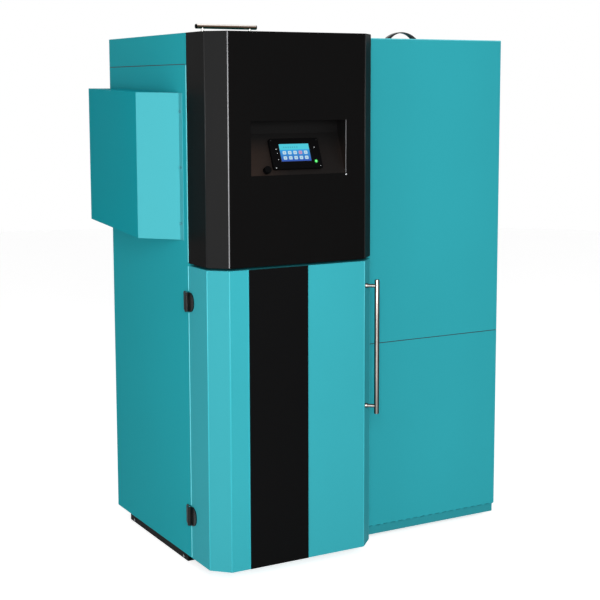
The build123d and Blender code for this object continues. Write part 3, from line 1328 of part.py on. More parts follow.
# Tank front: a fixed upper sheet and a lower sheet that comes off, each with stiffening folds
FOLD_DEPTH = 12.0
FOLD_INSET = 26.0
PLINTH_SEAM = 2.0
TANK_FACE_Y = (TANK_FRONT, TANK_FRONT + SHEET)


def tank_front(foot, top):
    """Fold a front sheet of the tank between the heights foot and top."""
    block(TANK_WALL_X, TANK_FACE_Y, (foot, top))
    for fold_foot in (foot, top - SHEET):
        block(
            inside(TANK_WALL_X, FOLD_INSET),
            (TANK_FRONT, TANK_FRONT + FOLD_DEPTH),
            (fold_foot, fold_foot + SHEET),
        )


with BuildPart() as tank_upper_front:
    tank_front(TANK_SEAM + SHEET / 2, TANK_WALL_TOP - FOLD_DEPTH - 2 * SHEET)
    block(TANK_WALL_X, TANK_FACE_Y, (TANK_WALL_TOP - 2 * FOLD_DEPTH, TANK_WALL_TOP))
tank_upper_front.part.label = "tank_upper_front"
export_step(tank_upper_front.part, "parts/tank_upper_front.step")

with BuildPart() as tank_lower_front:
    tank_front(TANK_FOOT + PLINTH_SEAM, TANK_SEAM - SHEET / 2)
tank_lower_front.part.label = "tank_lower_front"
export_step(tank_lower_front.part, "parts/tank_lower_front.step")

# Tank plinth: floor pan set in from the walls, with an outward rim, on four feet
PLINTH_INSET = 4.0
RIM_INSET = 2.0
FOOT_INSET = 90.0
FOOT_RADIUS = 20.0
FOOT_PAD = 12.0
FOOT_STEM = 6.0
PLINTH_X = inside(TANK_WALL_X, PLINTH_INSET)
PLINTH_Y = inside((TANK_FRONT, TANK_BACK), PLINTH_INSET)

with BuildPart() as tank_plinth:
    block(PLINTH_X, PLINTH_Y, (TANK_FEET_HEIGHT, TANK_FOOT))
    block(
        inside(TANK_WALL_X, RIM_INSET),
        inside((TANK_FRONT, TANK_BACK), RIM_INSET),
        (TANK_FOOT - SHEET, TANK_FOOT),
    )
    block(
        inside(PLINTH_X, 2 * SHEET),
        inside(PLINTH_Y, 2 * SHEET),
        (TANK_FEET_HEIGHT + SHEET, CASING_TOP),
        Mode.SUBTRACT,
    )
tank_plinth.part.label = "tank_plinth"
export_step(tank_plinth.part, "parts/tank_plinth.step")

with BuildPart() as tank_feet:
    for foot_x in inside(TANK_WALL_X, FOOT_INSET):
        for foot_y in inside((TANK_FRONT, TANK_BACK), FOOT_INSET):
            rod((foot_x, foot_y, 0), (foot_x, foot_y, FOOT_PAD), FOOT_RADIUS)
            rod((foot_x, foot_y, FOOT_PAD), (foot_x, foot_y, TANK_FEET_HEIGHT), FOOT_STEM)
tank_feet.part.label = "tank_feet"
export_step(tank_feet.part, "parts/tank_feet.step")

# Auger: slopes up to the left inside the tank and drops the pellets into the chute
AUGER_FOOT = Vector(LEFT + 930.0, TANK_CENTRE_Y, 220.0)
AUGER_HEAD = Vector(LEFT + 575.0, TANK_CENTRE_Y, 740.0)
AUGER_AXIS = (AUGER_HEAD - AUGER_FOOT).normalized()
AUGER_LENGTH = (AUGER_HEAD - AUGER_FOOT).length
AUGER_PLANE = Plane(origin=AUGER_FOOT, x_dir=(0, 1, 0), z_dir=AUGER_AXIS)
AUGER_TUBE_RADIUS = 38.0
AUGER_TUBE_BORE = 35.0
END_PLATE = 5.0
AUGER_SHAFT = 9.0
FLIGHT_RADIUS = 32.0
FLIGHT_THICKNESS = 3.0
FLIGHT_PITCH = 60.0
FLIGHT_TURNS = 10
INLET_X = across(868.0, 944.0)
INLET_Y = around(TANK_CENTRE_Y, 2 * AUGER_TUBE_RADIUS)
INLET_TOP = 400.0
INLET_WALL = 3.0
SPOUT_RADIUS = 33.0
SPOUT_BORE = 30.5
SPOUT_FOOT = 590.0
SPOUT_HEAD = (CHUTE_BEND[0], TANK_CENTRE_Y, 690.0)

with BuildPart() as auger_tube:
    block(INLET_X, INLET_Y, (AUGER_FOOT.Z - END_PLATE, INLET_TOP))
    block(inside(INLET_X, INLET_WALL), inside(INLET_Y, INLET_WALL), (0, CASING_TOP), Mode.SUBTRACT)
    with Locations(AUGER_PLANE):
        Box(
            4 * AUGER_TUBE_RADIUS,
            AUGER_LENGTH,
            AUGER_LENGTH,
            align=(Align.CENTER, Align.MIN, Align.MIN),
            mode=Mode.SUBTRACT,
        )
        Box(
            4 * AUGER_TUBE_RADIUS,
            AUGER_LENGTH,
            AUGER_LENGTH,
            align=(Align.CENTER, Align.CENTER, Align.MAX),
            mode=Mode.SUBTRACT,
        )
    rod(AUGER_FOOT, AUGER_HEAD, AUGER_TUBE_RADIUS)
    rod((CHUTE_BEND[0], TANK_CENTRE_Y, SPOUT_FOOT), SPOUT_HEAD, SPOUT_RADIUS)
    rod(
        AUGER_FOOT + AUGER_AXIS * END_PLATE,
        AUGER_HEAD - AUGER_AXIS * END_PLATE,
        AUGER_TUBE_BORE,
        Mode.SUBTRACT,
    )
    rod(AUGER_FOOT, AUGER_HEAD, AUGER_SHAFT + RUNNING, Mode.SUBTRACT)
    inlet_mouth = (AUGER_FOOT.Z + AUGER_TUBE_RADIUS, INLET_TOP)
    block(inside(INLET_X, 2 * INLET_WALL), inside(INLET_Y, 2 * INLET_WALL), inlet_mouth, Mode.SUBTRACT)
    rod((CHUTE_BEND[0], TANK_CENTRE_Y, 0), SPOUT_HEAD, SPOUT_BORE, Mode.SUBTRACT)
auger_tube.part.label = "auger_tube"
export_step(auger_tube.part, "parts/auger_tube.step")

with BuildPart() as straight_auger:
    with Locations((0, 0, -SHAFT_IN_MOTOR)):
        Cylinder(AUGER_SHAFT, AUGER_LENGTH + SHAFT_IN_MOTOR, align=(Align.CENTER, Align.CENTER, Align.MIN))
    with BuildLine(Plane.XY.offset(2 * END_PLATE)) as flight_line:
        Helix(FLIGHT_PITCH, FLIGHT_PITCH * FLIGHT_TURNS, AUGER_SHAFT)
    with BuildSketch(Plane(origin=flight_line.line @ 0, x_dir=(1, 0, 0), z_dir=flight_line.line % 0)):
        with Locations(((FLIGHT_RADIUS - AUGER_SHAFT) / 2, 0)):
            Rectangle(FLIGHT_RADIUS - AUGER_SHAFT + SHEET, FLIGHT_THICKNESS)
    sweep(path=flight_line.line, is_frenet=True)

with BuildPart() as auger:
    with Locations(AUGER_PLANE):
        add(straight_auger.part)
auger.part.label = "auger"
export_step(auger.part, "parts/auger.step")

# Auger gear motor under the tube's lower end
AUGER_GEARBOX = 80.0
AUGER_GEARBOX_LENGTH = 60.0
AUGER_MOTOR_RADIUS = 28.0
AUGER_MOTOR_LENGTH = 110.0

gearbox_side = AUGER_FOOT - AUGER_AXIS * (AUGER_GEARBOX_LENGTH / 2) - Vector(0, AUGER_GEARBOX / 2 - PLATE, 0)

with BuildPart() as auger_gearmotor:
    with Locations(AUGER_PLANE):
        Box(
            AUGER_GEARBOX,
            AUGER_GEARBOX,
            AUGER_GEARBOX_LENGTH,
            align=(Align.CENTER, Align.CENTER, Align.MAX),
        )
    rod(gearbox_side, gearbox_side - Vector(0, AUGER_MOTOR_LENGTH, 0), AUGER_MOTOR_RADIUS)
    rod(
        AUGER_FOOT - AUGER_AXIS * (SHAFT_IN_MOTOR + GAP),
        AUGER_FOOT + AUGER_AXIS * GAP,
        AUGER_SHAFT + RUNNING,
        Mode.SUBTRACT,
    )
auger_gearmotor.part.label = "auger_gearmotor"
export_step(auger_gearmotor.part, "parts/auger_gearmotor.step")

# Hopper funnel: from the tank's full plan down to the auger's inlet
FUNNEL_TOP = 900.0
FUNNEL_BAND = 25.0
FUNNEL_TOP_X = inside(TANK_WALL_X, SHEET)
FUNNEL_TOP_Y = (TANK_WALL_Y[0] + SHEET, TANK_BACK - SHEET)


def funnel_volume(skin, mode):
    """Fill the funnel's form, drawn in by skin, into the piece in hand."""
    top_x = inside(FUNNEL_TOP_X, skin)
    top_y = inside(FUNNEL_TOP_Y, skin)
    foot_x = inside(INLET_X, skin)
    foot_y = inside(INLET_Y, skin)
    with BuildSketch(Plane.XY.offset(FUNNEL_TOP)) as mouth:
        with Locations((sum(top_x) / 2, sum(top_y) / 2)):
            Rectangle(top_x[1] - top_x[0], top_y[1] - top_y[0])
    with BuildSketch(Plane.XY.offset(INLET_TOP)) as throat:
        with Locations((sum(foot_x) / 2, sum(foot_y) / 2)):
            Rectangle(foot_x[1] - foot_x[0], foot_y[1] - foot_y[0])
    loft([throat.sketch, mouth.sketch], ruled=True, mode=mode)
    extrude(mouth.sketch, amount=FUNNEL_BAND, mode=mode)


with BuildPart() as hopper_funnel:
    funnel_volume(0, Mode.ADD)
    funnel_volume(2 * SHEET, Mode.SUBTRACT)
hopper_funnel.part.label = "hopper_funnel"
export_step(hopper_funnel.part, "parts/hopper_funnel.step")

# Tank lid: flat sheet with an inner lip, knuckles at the back and a bow handle
LIP_INSET = 6.0
LIP_DEPTH = 13.0
LID_BOW_X = LEFT + 767.5
LID_BOW_Y = FRONT + 118.0
BOW_OUTER_HALF = 60.0
BOW_INNER_HALF = 44.0
BOW_RISE = 26.0
BOW_CLEAR = 23.0
BOW_WIDTH = 14.0

with BuildPart() as tank_lid:
    block(TANK_WALL_X, (TANK_FRONT, TANK_BACK), (TANK_TOP - SHEET, TANK_TOP))
    lip_x = inside(TANK_WALL_X, LIP_INSET)
    lip_y = (TANK_FRONT + LIP_INSET + FOLD_DEPTH, TANK_BACK - LIP_INSET)
    lip_z = (TANK_TOP - SHEET - LIP_DEPTH, TANK_TOP - SHEET)
    block(lip_x, lip_y, lip_z)
    block(inside(lip_x, SHEET), inside(lip_y, SHEET), lip_z, Mode.SUBTRACT)
    for hinge in LID_HINGES:
        knuckle_x = (hinge - LID_KNUCKLE, hinge)
        rod((knuckle_x[0], LID_PIN_Y, LID_PIN_Z), (knuckle_x[1], LID_PIN_Y, LID_PIN_Z), LID_BARREL)
        block(knuckle_x, (TANK_BACK - SHEET, LID_PIN_Y), (TANK_TOP - SHEET, TANK_TOP))
        block(knuckle_x, around(LID_PIN_Y, 2 * SHEET), (LID_PIN_Z, TANK_TOP))
        rod(
            (knuckle_x[0], LID_PIN_Y, LID_PIN_Z),
            (knuckle_x[1], LID_PIN_Y, LID_PIN_Z),
            LID_PIN_RADIUS + RUNNING,
            Mode.SUBTRACT,
        )
tank_lid.part.label = "tank_lid"
export_step(tank_lid.part, "parts/tank_lid.step")

with BuildPart() as tank_lid_handle:
    with BuildSketch(Plane(origin=(LID_BOW_X, LID_BOW_Y, TANK_TOP), x_dir=(1, 0, 0), z_dir=(0, -1, 0))):
        with BuildLine():
            ThreePointArc((-BOW_OUTER_HALF, 0), (0, BOW_RISE), (BOW_OUTER_HALF, 0))
            Line((BOW_OUTER_HALF, 0), (BOW_INNER_HALF, 0))
            ThreePointArc((BOW_INNER_HALF, 0), (0, BOW_CLEAR), (-BOW_INNER_HALF, 0))
            Line((-BOW_INNER_HALF, 0), (-BOW_OUTER_HALF, 0))
        make_face()
    extrude(amount=BOW_WIDTH / 2, both=True)
tank_lid_handle.part.label = "tank_lid_handle"
export_step(tank_lid_handle.part, "parts/tank_lid_handle.step")
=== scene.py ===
"""Looks of the pellet boiler and its side tank.

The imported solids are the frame. This file gives each of them a finish, adds the small pieces that the
solids leave out, and sets up a plain studio with the camera at the photograph's angle. Lengths are metres
in the row frame; the sizes named in millimetres are turned into metres by mm().
"""

from __future__ import annotations

import logging
import math
from dataclasses import dataclass
from enum import Enum
from typing import Any, Callable, Sequence

import bmesh
import bpy
import numpy as np
from mathutils import Matrix, Vector


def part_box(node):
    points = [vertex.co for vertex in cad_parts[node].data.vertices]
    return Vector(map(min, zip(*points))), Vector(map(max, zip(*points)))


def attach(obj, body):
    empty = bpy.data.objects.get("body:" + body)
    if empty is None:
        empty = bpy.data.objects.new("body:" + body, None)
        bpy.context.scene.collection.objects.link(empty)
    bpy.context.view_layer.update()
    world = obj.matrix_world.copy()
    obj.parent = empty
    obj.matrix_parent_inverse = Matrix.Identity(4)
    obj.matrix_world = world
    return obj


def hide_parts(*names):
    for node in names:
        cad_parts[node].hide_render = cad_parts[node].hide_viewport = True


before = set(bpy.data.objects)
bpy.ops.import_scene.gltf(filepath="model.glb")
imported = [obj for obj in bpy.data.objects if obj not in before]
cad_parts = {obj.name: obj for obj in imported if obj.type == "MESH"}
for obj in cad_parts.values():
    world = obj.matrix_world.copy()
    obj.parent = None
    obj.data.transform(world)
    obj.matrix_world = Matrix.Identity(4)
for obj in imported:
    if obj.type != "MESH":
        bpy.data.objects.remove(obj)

logging.basicConfig(level=logging.INFO, format="%(message)s")
LOG = logging.getLogger("boiler")

Point = tuple[float, float, float]
Colour = tuple[float, float, float]


def mm(value: float) -> float:
    """Millimetres as metres."""
    return value * 0.001


@dataclass(frozen=True)
class Datums:
    """Planes of the boiler in the row frame, in millimetres.

    The boiler's own datums are its left side, its front plane, where the doors close, and the floor.
    """

    left: float = -470.5
    front: float = -280.333
    width: float = 513.0
    depth: float = 556.0
    height: float = 1500.0
    tank_left: float = 519.0
    tank_right: float = 1036.0
    tank_front: float = -27.0
    tank_top: float = 1493.5

    def at(self, x: float, y: float, z: float) -> Point:
        """Row-frame point in metres of a place given from the boiler's datums in millimetres."""
        return (mm(self.left + x), mm(self.front + y), mm(z))


CASE = Datums()


# Shader maths


class Term:
    """An output of a shader node, with arithmetic that adds Math nodes."""

    def __init__(self, paint: Paint, socket: bpy.types.NodeSocket) -> None:
        """Keep the socket and the paint that it belongs to."""
        self.paint = paint
        self.socket = socket

    def _math(self, operation: str, *values: Any) -> Term:
        """Add a Math node of the given operation on values."""
        return self.paint.node("ShaderNodeMath", {"operation": operation}, dict(enumerate(values)))

    def __add__(self, other: Any) -> Term:
        """Sum."""
        return self._math("ADD", self, other)

    def __radd__(self, other: Any) -> Term:
        """Sum with a number on the left."""
        return self._math("ADD", other, self)

    def __sub__(self, other: Any) -> Term:
        """Difference."""
        return self._math("SUBTRACT", self, other)

    def __rsub__(self, other: Any) -> Term:
        """Difference with a number on the left."""
        return self._math("SUBTRACT", other, self)

    def __mul__(self, other: Any) -> Term:
        """Product."""
        return self._math("MULTIPLY", self, other)

    def __rmul__(self, other: Any) -> Term:
        """Product with a number on the left."""
        return self._math("MULTIPLY", other, self)

    def __truediv__(self, other: Any) -> Term:
        """Quotient."""
        return self._math("DIVIDE", self, other)

    def size(self) -> Term:
        """Absolute value."""
        return self._math("ABSOLUTE", self)

    def fraction(self) -> Term:
        """Part after the decimal point."""
        return self._math("FRACT", self)

    def whole(self) -> Term:
        """Part before the decimal point."""
        return self._math("FLOOR", self)

    def above(self, limit: Any) -> Term:
        """1 where the value is over limit, otherwise 0."""
        return self._math("GREATER_THAN", self, limit)

    def below(self, limit: Any) -> Term:
        """1 where the value is under limit, otherwise 0."""
        return self._math("LESS_THAN", self, limit)

    def power(self, exponent: float) -> Term:
        """The value raised to exponent."""
        return self._math("POWER", self, exponent)

    def most(self, other: Any) -> Term:
        """The larger of two values."""
        return self._math("MAXIMUM", self, other)

    def span(self, low: float, high: float, start: float = 0.0, end: float = 1.0) -> Term:
        """Map low..high onto start..end, clamped."""
        return self.paint.node(
            "ShaderNodeMapRange",
            {"clamp": True},
            {"Value": self, "From Min": low, "From Max": high, "To Min": start, "To Max": end},
        )


class Paint:
    """A material under construction: its node tree and its Principled shader."""

    def __init__(self, name: str) -> None:
        """Start an empty material of that name."""
        self.material = bpy.data.materials.new(name)
        self.material.use_nodes = True
        self.tree = self.material.node_tree
        self.tree.nodes.clear()
        self.output = self.tree.nodes.new("ShaderNodeOutputMaterial")
        self.shader = self.tree.nodes.new("ShaderNodeBsdfPrincipled")
        self.tree.links.new(self.shader.outputs[0], self.output.inputs["Surface"])

    def plug(self, socket: bpy.types.NodeSocket, value: Any) -> None:
        """Link a term to a socket, or set the socket to a number or a colour."""
        if isinstance(value, Term):
            self.tree.links.new(value.socket, socket)
        elif socket.type == "RGBA" and len(value) == 3:
            socket.default_value = (*value, 1.0)
        else:
            socket.default_value = value

    def node(
        self,
        kind: str,
        settings: dict[str, Any] | None = None,
        inputs: dict[Any, Any] | None = None,
        output: Any = 0,
    ) -> Term:
        """Add one node.

        Args:
            kind: the node's type.
            settings: its properties, set first; "stops" holds a colour ramp's (position, colour) pairs.
            inputs: values or terms by socket name or number.
            output: name or number of the output to return.

        Returns:
            The chosen output.
        """
        made = self.tree.nodes.new(kind)
        for key, value in (settings or {}).items():
            if key == "stops":
                for index, (place, colour) in enumerate(value):
                    elements = made.color_ramp.elements
                    stop = elements[index] if index < len(elements) else elements.new(place)
                    stop.position = place
                    stop.color = (*colour, 1.0)
            else:
                setattr(made, key, value)
        for key, value in (inputs or {}).items():
            self.plug(made.inputs[key], value)
        return Term(self, made.outputs[output])

    def place(self) -> Term:
        """Object coordinates, which are the row frame's metres."""
        return self.node("ShaderNodeTexCoord", output="Object")

    def axes(self, vector: Term) -> tuple[Term, Term, Term]:
        """Split a vector into its three components."""
        parts = self.node("ShaderNodeSeparateXYZ", None, {0: vector}).socket.node
        return tuple(Term(self, parts.outputs[index]) for index in range(3))

    def sheet(self) -> tuple[Term, Term]:
        """The piece's own surface map as its two components."""
        across, along, _ = self.axes(self.node("ShaderNodeUVMap"))
        return across, along

    def stretched(self, scale: Point) -> Term:
        """Object coordinates multiplied by scale along each axis."""
        return self.node(
            "ShaderNodeVectorMath",
            {"operation": "MULTIPLY"},
            {0: self.place(), 1: scale},
        )

    def noise(self, scale: float, detail: float = 2.0, rough: float = 0.5, where: Term | None = None) -> Term:
        """Noise of the given scale per metre."""
        return self.node(
            "ShaderNodeTexNoise",
            {"noise_dimensions": "3D"},
            {"Vector": where or self.place(), "Scale": scale, "Detail": detail, "Roughness": rough},
        )

    def cells(self, scale: float, output: str = "Distance", where: Term | None = None) -> Term:
        """Voronoi cells of the given scale per metre."""
        return self.node(
            "ShaderNodeTexVoronoi",
            None,
            {"Vector": where or self.place(), "Scale": scale},
            output,
        )

    def blend(self, factor: Any, first: Any, second: Any) -> Term:
        """Mix two colours by factor."""
        return self.node(
            "ShaderNodeMix",
            {"data_type": "RGBA", "clamp_factor": True},
            {0: factor, 6: first, 7: second},
            2,
        )

    def relief(self, height: Term, strength: float, distance: float) -> None:
        """Feed the shader's Normal from a height."""
        bump = self.node(
            "ShaderNodeBump",
            None,
            {"Height": height, "Strength": strength, "Distance": distance},
        )
        self.plug(self.shader.inputs["Normal"], bump)

    def set(self, **sockets: Any) -> Paint:
        """Set or link the shader's sockets; an underscore in a name stands for a space."""
        for key, value in sockets.items():
            self.plug(self.shader.inputs[key.replace("_", " ")], value)
        return self


def tint(colour: Colour, factor: float) -> Colour:
    """A colour made lighter or darker by factor."""
    return tuple(min(1.0, channel * factor) for channel in colour)


@dataclass(frozen=True)
class Finish:
    """A named finish that can make its material once."""

    name: str

    def paint(self) -> Paint:
        """Build the material's nodes."""
        raise NotImplementedError

    def material(self) -> bpy.types.Material:
        """The finish's material, made on first use."""
        known = bpy.data.materials.get(self.name)
        return known or self.paint().material


@dataclass(frozen=True)
class PowderCoat(Finish):
    """Baked powder paint: fine orange peel, slight drift of shade and of gloss."""

    colour: Colour
    roughness: float = 0.42
    peel: float = 0.12
    drift: float = 0.03
    specular: float = 0.5

    def paint(self) -> Paint:
        """Large soft noise drifts the colour, small noise gives the peel."""
        paint = Paint(self.name)
        large = paint.noise(2.3, 3.0)
        fine = paint.noise(900.0, 2.0)
        grain = paint.noise(240.0, 1.0)
        shade = large * 0.7 + grain * 0.3
        base = paint.blend(
            shade.span(0.3, 0.7),
            tint(self.colour, 1 - self.drift),
            tint(self.colour, 1 + self.drift),
        )
        paint.set(
            Base_Color=self.with_painted_shading(paint, base),
            Roughness=(large * 0.10 + fine * 0.04) + (self.roughness - 0.07),
            Specular_IOR_Level=self.specular,
        )
        paint.relief(fine * 0.7 + grain * 0.3, self.peel, 0.0004)
        return paint


    def with_painted_shading(self, paint: Paint, base: Term) -> Term:
        """Colour as it comes: a plain coat has no zone of painted shading."""
        return base


# Width of the blend at the edge of a zone of painted shading, in millimetres
ZONE_BORDER = 0.5


@dataclass(frozen=True)
class ZonedCoat(PowderCoat):
    """Powder paint with one zone of painted shading.

    The zone paints onto a bent face the shading that its light gives it. It isn't a second paint.
    """

    axis: int = 0
    zone: tuple[float, float] = (0.0, 1.0)
    tone: Colour = (0.5, 0.5, 0.5)

    def with_painted_shading(self, paint: Paint, base: Term) -> Term:
        """The zone of painted shading lies between two distances along one axis; its borders lie on the folds."""
        along = paint.axes(paint.place())[self.axis]
        low, high = (mm(edge) for edge in self.zone)
        border = mm(ZONE_BORDER)
        inside = along.span(low - border, low) * along.span(high, high + border, 1.0, 0.0)
        return paint.blend(inside, base, self.tone)


@dataclass(frozen=True)
class ShadedCoat(Finish):
    """Textured paint of the console: nearly black, with a painted reflection, a dull brown patch low on its left and
    right.
    """

    dark: Colour = (0.0032, 0.0030, 0.0030)
    # Colour of the painted reflection
    rust_and_painted_reflection: Colour = (0.021, 0.013, 0.010)
    roughness: float = 0.55

    def paint(self) -> Paint:
        """The painted reflection fades upwards and towards the middle; fine noise gives the paint's texture."""
        paint = Paint(self.name)
        x, _, z = paint.axes(paint.place())
        left, right = mm(CASE.left + 112), mm(CASE.left + 405)
        low = z.span(mm(1180), mm(1222), 1.0, 0.0)
        near = x.span(left, left + mm(120), 1.0, 0.15)
        far = x.span(right - mm(30), right, 0.0, 0.35)
        texture = paint.noise(520.0, 3.0)
        painted_reflection_amount = low * near.most(far) * texture.span(0.2, 0.8, 0.8, 1.0)
        paint.set(
            Base_Color=paint.blend(painted_reflection_amount, self.dark, self.rust_and_painted_reflection),
            Roughness=texture * 0.1 + (self.roughness - 0.05),
            Specular_IOR_Level=0.08,
        )
        paint.relief(texture, 0.25, 0.0004)
        return paint


@dataclass(frozen=True)
class RolledSheet(Finish):
    """Galvanised sheet: crystal spangle in shade and gloss, over a faint rolling grain."""

    colour: Colour = (0.44, 0.46, 0.48)
    roughness: float = 0.38

    def paint(self) -> Paint:
        """Cells of two sizes make the spangle."""
        paint = Paint(self.name)
        wobble = paint.noise(30.0, 2.0)
        crystals = paint.node("ShaderNodeSeparateColor", None, {0: paint.cells(55.0, "Color")})
        small = paint.node("ShaderNodeSeparateColor", None, {0: paint.cells(120.0, "Color")})
        mask = crystals * 0.65 + small * 0.25 + wobble * 0.10
        base = paint.blend(mask, tint(self.colour, 0.80), tint(self.colour, 1.18))
        paint.set(Base_Color=base, Metallic=0.85, Roughness=mask * 0.22 + (self.roughness - 0.08))
        paint.relief(mask + paint.noise(700.0) * 0.2, 0.10, 0.0003)
        return paint


@dataclass(frozen=True)
class RawPlate(Finish):
    """Hot-rolled boiler plate: blue-black mill scale with rubbed and lightly rusted places."""

    colour: Colour = (0.10, 0.105, 0.115)
    rust: Colour = (0.20, 0.095, 0.05)

    def paint(self) -> Paint:
        """Cloudy scale, with rust where a second noise is high."""
        paint = Paint(self.name)
        cloud = paint.noise(9.0, 5.0, 0.6)
        speck = paint.noise(160.0, 3.0, 0.6)
        scale = paint.blend(cloud.span(0.3, 0.7), tint(self.colour, 0.7), tint(self.colour, 1.7))
        rust_and_painted_reflection = (cloud * 0.6 + speck * 0.5).span(0.58, 0.72, 0.0, 0.55)
        base = paint.blend(rust_and_painted_reflection, scale, self.rust)
        paint.set(Base_Color=base, Metallic=0.75 - rust_and_painted_reflection, Roughness=speck * 0.25 + 0.42)
        paint.relief(speck + cloud, 0.22, 0.0006)
        return paint


@dataclass(frozen=True)
class CastIron(Finish):
    """Sand-cast iron: dark, pebbled, dry."""

    colour: Colour = (0.055, 0.055, 0.058)

    def paint(self) -> Paint:
        """Pebbles from cells, dust from noise."""
        paint = Paint(self.name)
        pebble = paint.cells(420.0)
        dust = paint.noise(14.0, 5.0, 0.65)
        base = paint.blend(dust.span(0.35, 0.75), self.colour, tint(self.colour, 2.2))
        paint.set(Base_Color=base, Metallic=0.5, Roughness=dust * 0.2 + 0.55)
        paint.relief(pebble + dust, 0.35, 0.0012)
        return paint


class Grain(Enum):
    """Direction of the brush marks on a bar or plate."""

    ALONG_X = (6.0, 900.0, 900.0)
    ALONG_Y = (900.0, 6.0, 900.0)
    ALONG_Z = (900.0, 900.0, 6.0)
    ROUND = (900.0, 900.0, 900.0)


@dataclass(frozen=True)
class BrushedSteel(Finish):
    """Stainless steel with fine brush marks in one direction."""

    colour: Colour = (0.60, 0.55, 0.50)
    roughness: float = 0.27
    grain: Grain = Grain.ALONG_Z

    def paint(self) -> Paint:
        """Noise stretched along the grain."""
        paint = Paint(self.name)
        marks = paint.noise(1.0, 3.0, 0.6, paint.stretched(self.grain.value))
        film = paint.noise(18.0, 3.0)
        base = paint.blend(
            marks * 0.6 + film * 0.4,
            tint(self.colour, 0.84),
            tint(self.colour, 1.14),
        )
        paint.set(Base_Color=base, Metallic=1.0, Roughness=marks * 0.14 + film * 0.06 + (self.roughness - 0.10))
        paint.relief(marks, 0.10, 0.0002)
        return paint


@dataclass(frozen=True)
class MouldedPlastic(Finish):
    """Moulded plastic or rubber with a spark-eroded grain."""

    colour: Colour
    roughness: float = 0.5
    grain: float = 0.15
    specular: float = 0.5

    def paint(self) -> Paint:
        """Fine cells for the grain, soft noise for handling marks."""
        paint = Paint(self.name)
        grain = paint.cells(1400.0)
        film = paint.noise(22.0, 3.0)
        base = paint.blend(film.span(0.3, 0.7), tint(self.colour, 0.9), tint(self.colour, 1.15))
        paint.set(
            Base_Color=base,
            Roughness=film * 0.12 + (self.roughness - 0.06),
            Specular_IOR_Level=self.specular,
        )
        paint.relief(grain, self.grain, 0.0003)
        return paint


@dataclass(frozen=True)
class FireBoard(Finish):
    """Pressed refractory board: sandy, speckled, sooted towards the fire."""

    colour: Colour = (0.50, 0.42, 0.30)

    def paint(self) -> Paint:
        """Speckles from cells, soot from large noise."""
        paint = Paint(self.name)
        fleck = paint.cells(260.0)
        soot = paint.noise(7.0, 4.0, 0.6)
        grains = paint.blend(fleck.span(0.1, 0.7), tint(self.colour, 0.72), tint(self.colour, 1.25))
        base = paint.blend(soot.span(0.45, 0.75, 0.0, 0.7), grains, (0.05, 0.045, 0.04))
        paint.set(Base_Color=base, Roughness=0.92)
        paint.relief(fleck, 0.5, 0.0015)
        return paint


@dataclass(frozen=True)
class MineralWool(Finish):
    """Mineral wool board: matted fibres."""

    colour: Colour = (0.46, 0.38, 0.16)

    def paint(self) -> Paint:
        """Fibres are noise stretched along the board."""
        paint = Paint(self.name)
        fibre = paint.noise(1.0, 5.0, 0.7, paint.stretched((120.0, 120.0, 700.0)))
        tuft = paint.noise(60.0, 4.0)
        base = paint.blend(fibre * 0.6 + tuft * 0.4, tint(self.colour, 0.6), tint(self.colour, 1.4))
        paint.set(Base_Color=base, Roughness=0.97)
        paint.relief(fibre + tuft, 0.8, 0.003)
        return paint


@dataclass(frozen=True)
class Brass(Finish):
    """Turned brass with a dull film."""

    colour: Colour = (0.62, 0.42, 0.16)

    def paint(self) -> Paint:
        """Tarnish clouds over a fine turning grain."""
        paint = Paint(self.name)
        film = paint.noise(90.0, 4.0, 0.6)
        turned = paint.noise(1.0, 2.0, 0.5, paint.stretched((400.0, 2600.0, 400.0)))
        base = paint.blend(film.span(0.35, 0.7), self.colour, tint(self.colour, 0.62))
        paint.set(Base_Color=base, Metallic=1.0, Roughness=film * 0.25 + turned * 0.08 + 0.16)
        paint.relief(turned, 0.10, 0.0002)
        return paint


@dataclass(frozen=True)
class BandedSteel(Finish):
    """Brushed bar with a painted reflection: the light and dark bands that a long polished bar shows along its
    length.

    The bands follow the bar's own map: a light line at one place round it and dark flanks beside. They are
    painted on, so they stay where they are under any light.
    """

    light_at: float
    half_width: float = 0.13
    colour: Colour = (0.80, 0.77, 0.74)
    dark: Colour = (0.10, 0.085, 0.075)
    roughness: float = 0.30

    def paint(self) -> Paint:
        """Distance round the bar from the light line picks the band; noise along the bar is the brushing."""
        paint = Paint(self.name)
        across, _ = paint.sheet()
        apart = ((across - (self.light_at - 0.5)).fraction() - 0.5).size()
        flank = apart.span(self.half_width, self.half_width + 0.05)
        behind = apart.span(0.30, 0.40)
        marks = paint.noise(160.0, 3.0, 0.6)
        light = paint.blend(marks, tint(self.colour, 0.92), tint(self.colour, 1.06))
        base = paint.blend(flank - behind * 0.8, light, self.dark)
        paint.set(Base_Color=base, Metallic=1.0, Roughness=marks * 0.12 + (self.roughness - 0.06))
        paint.relief(marks, 0.06, 0.0002)
        return paint


@dataclass(frozen=True)
class BraidedRope(Finish):
    """Glass-fibre rope: pale strands with grey in the valleys."""

    colour: Colour = (0.52, 0.51, 0.47)

    def paint(self) -> Paint:
        """Fine fibre noise over large dust."""
        paint = Paint(self.name)
        fibre = paint.noise(1500.0, 3.0, 0.7)
        dust = paint.noise(35.0, 4.0, 0.6)
        base = paint.blend(fibre * 0.5 + dust * 0.5, tint(self.colour, 0.55), tint(self.colour, 1.25))
        paint.set(Base_Color=base, Roughness=0.95)
        paint.relief(fibre, 0.4, 0.0006)
        return paint


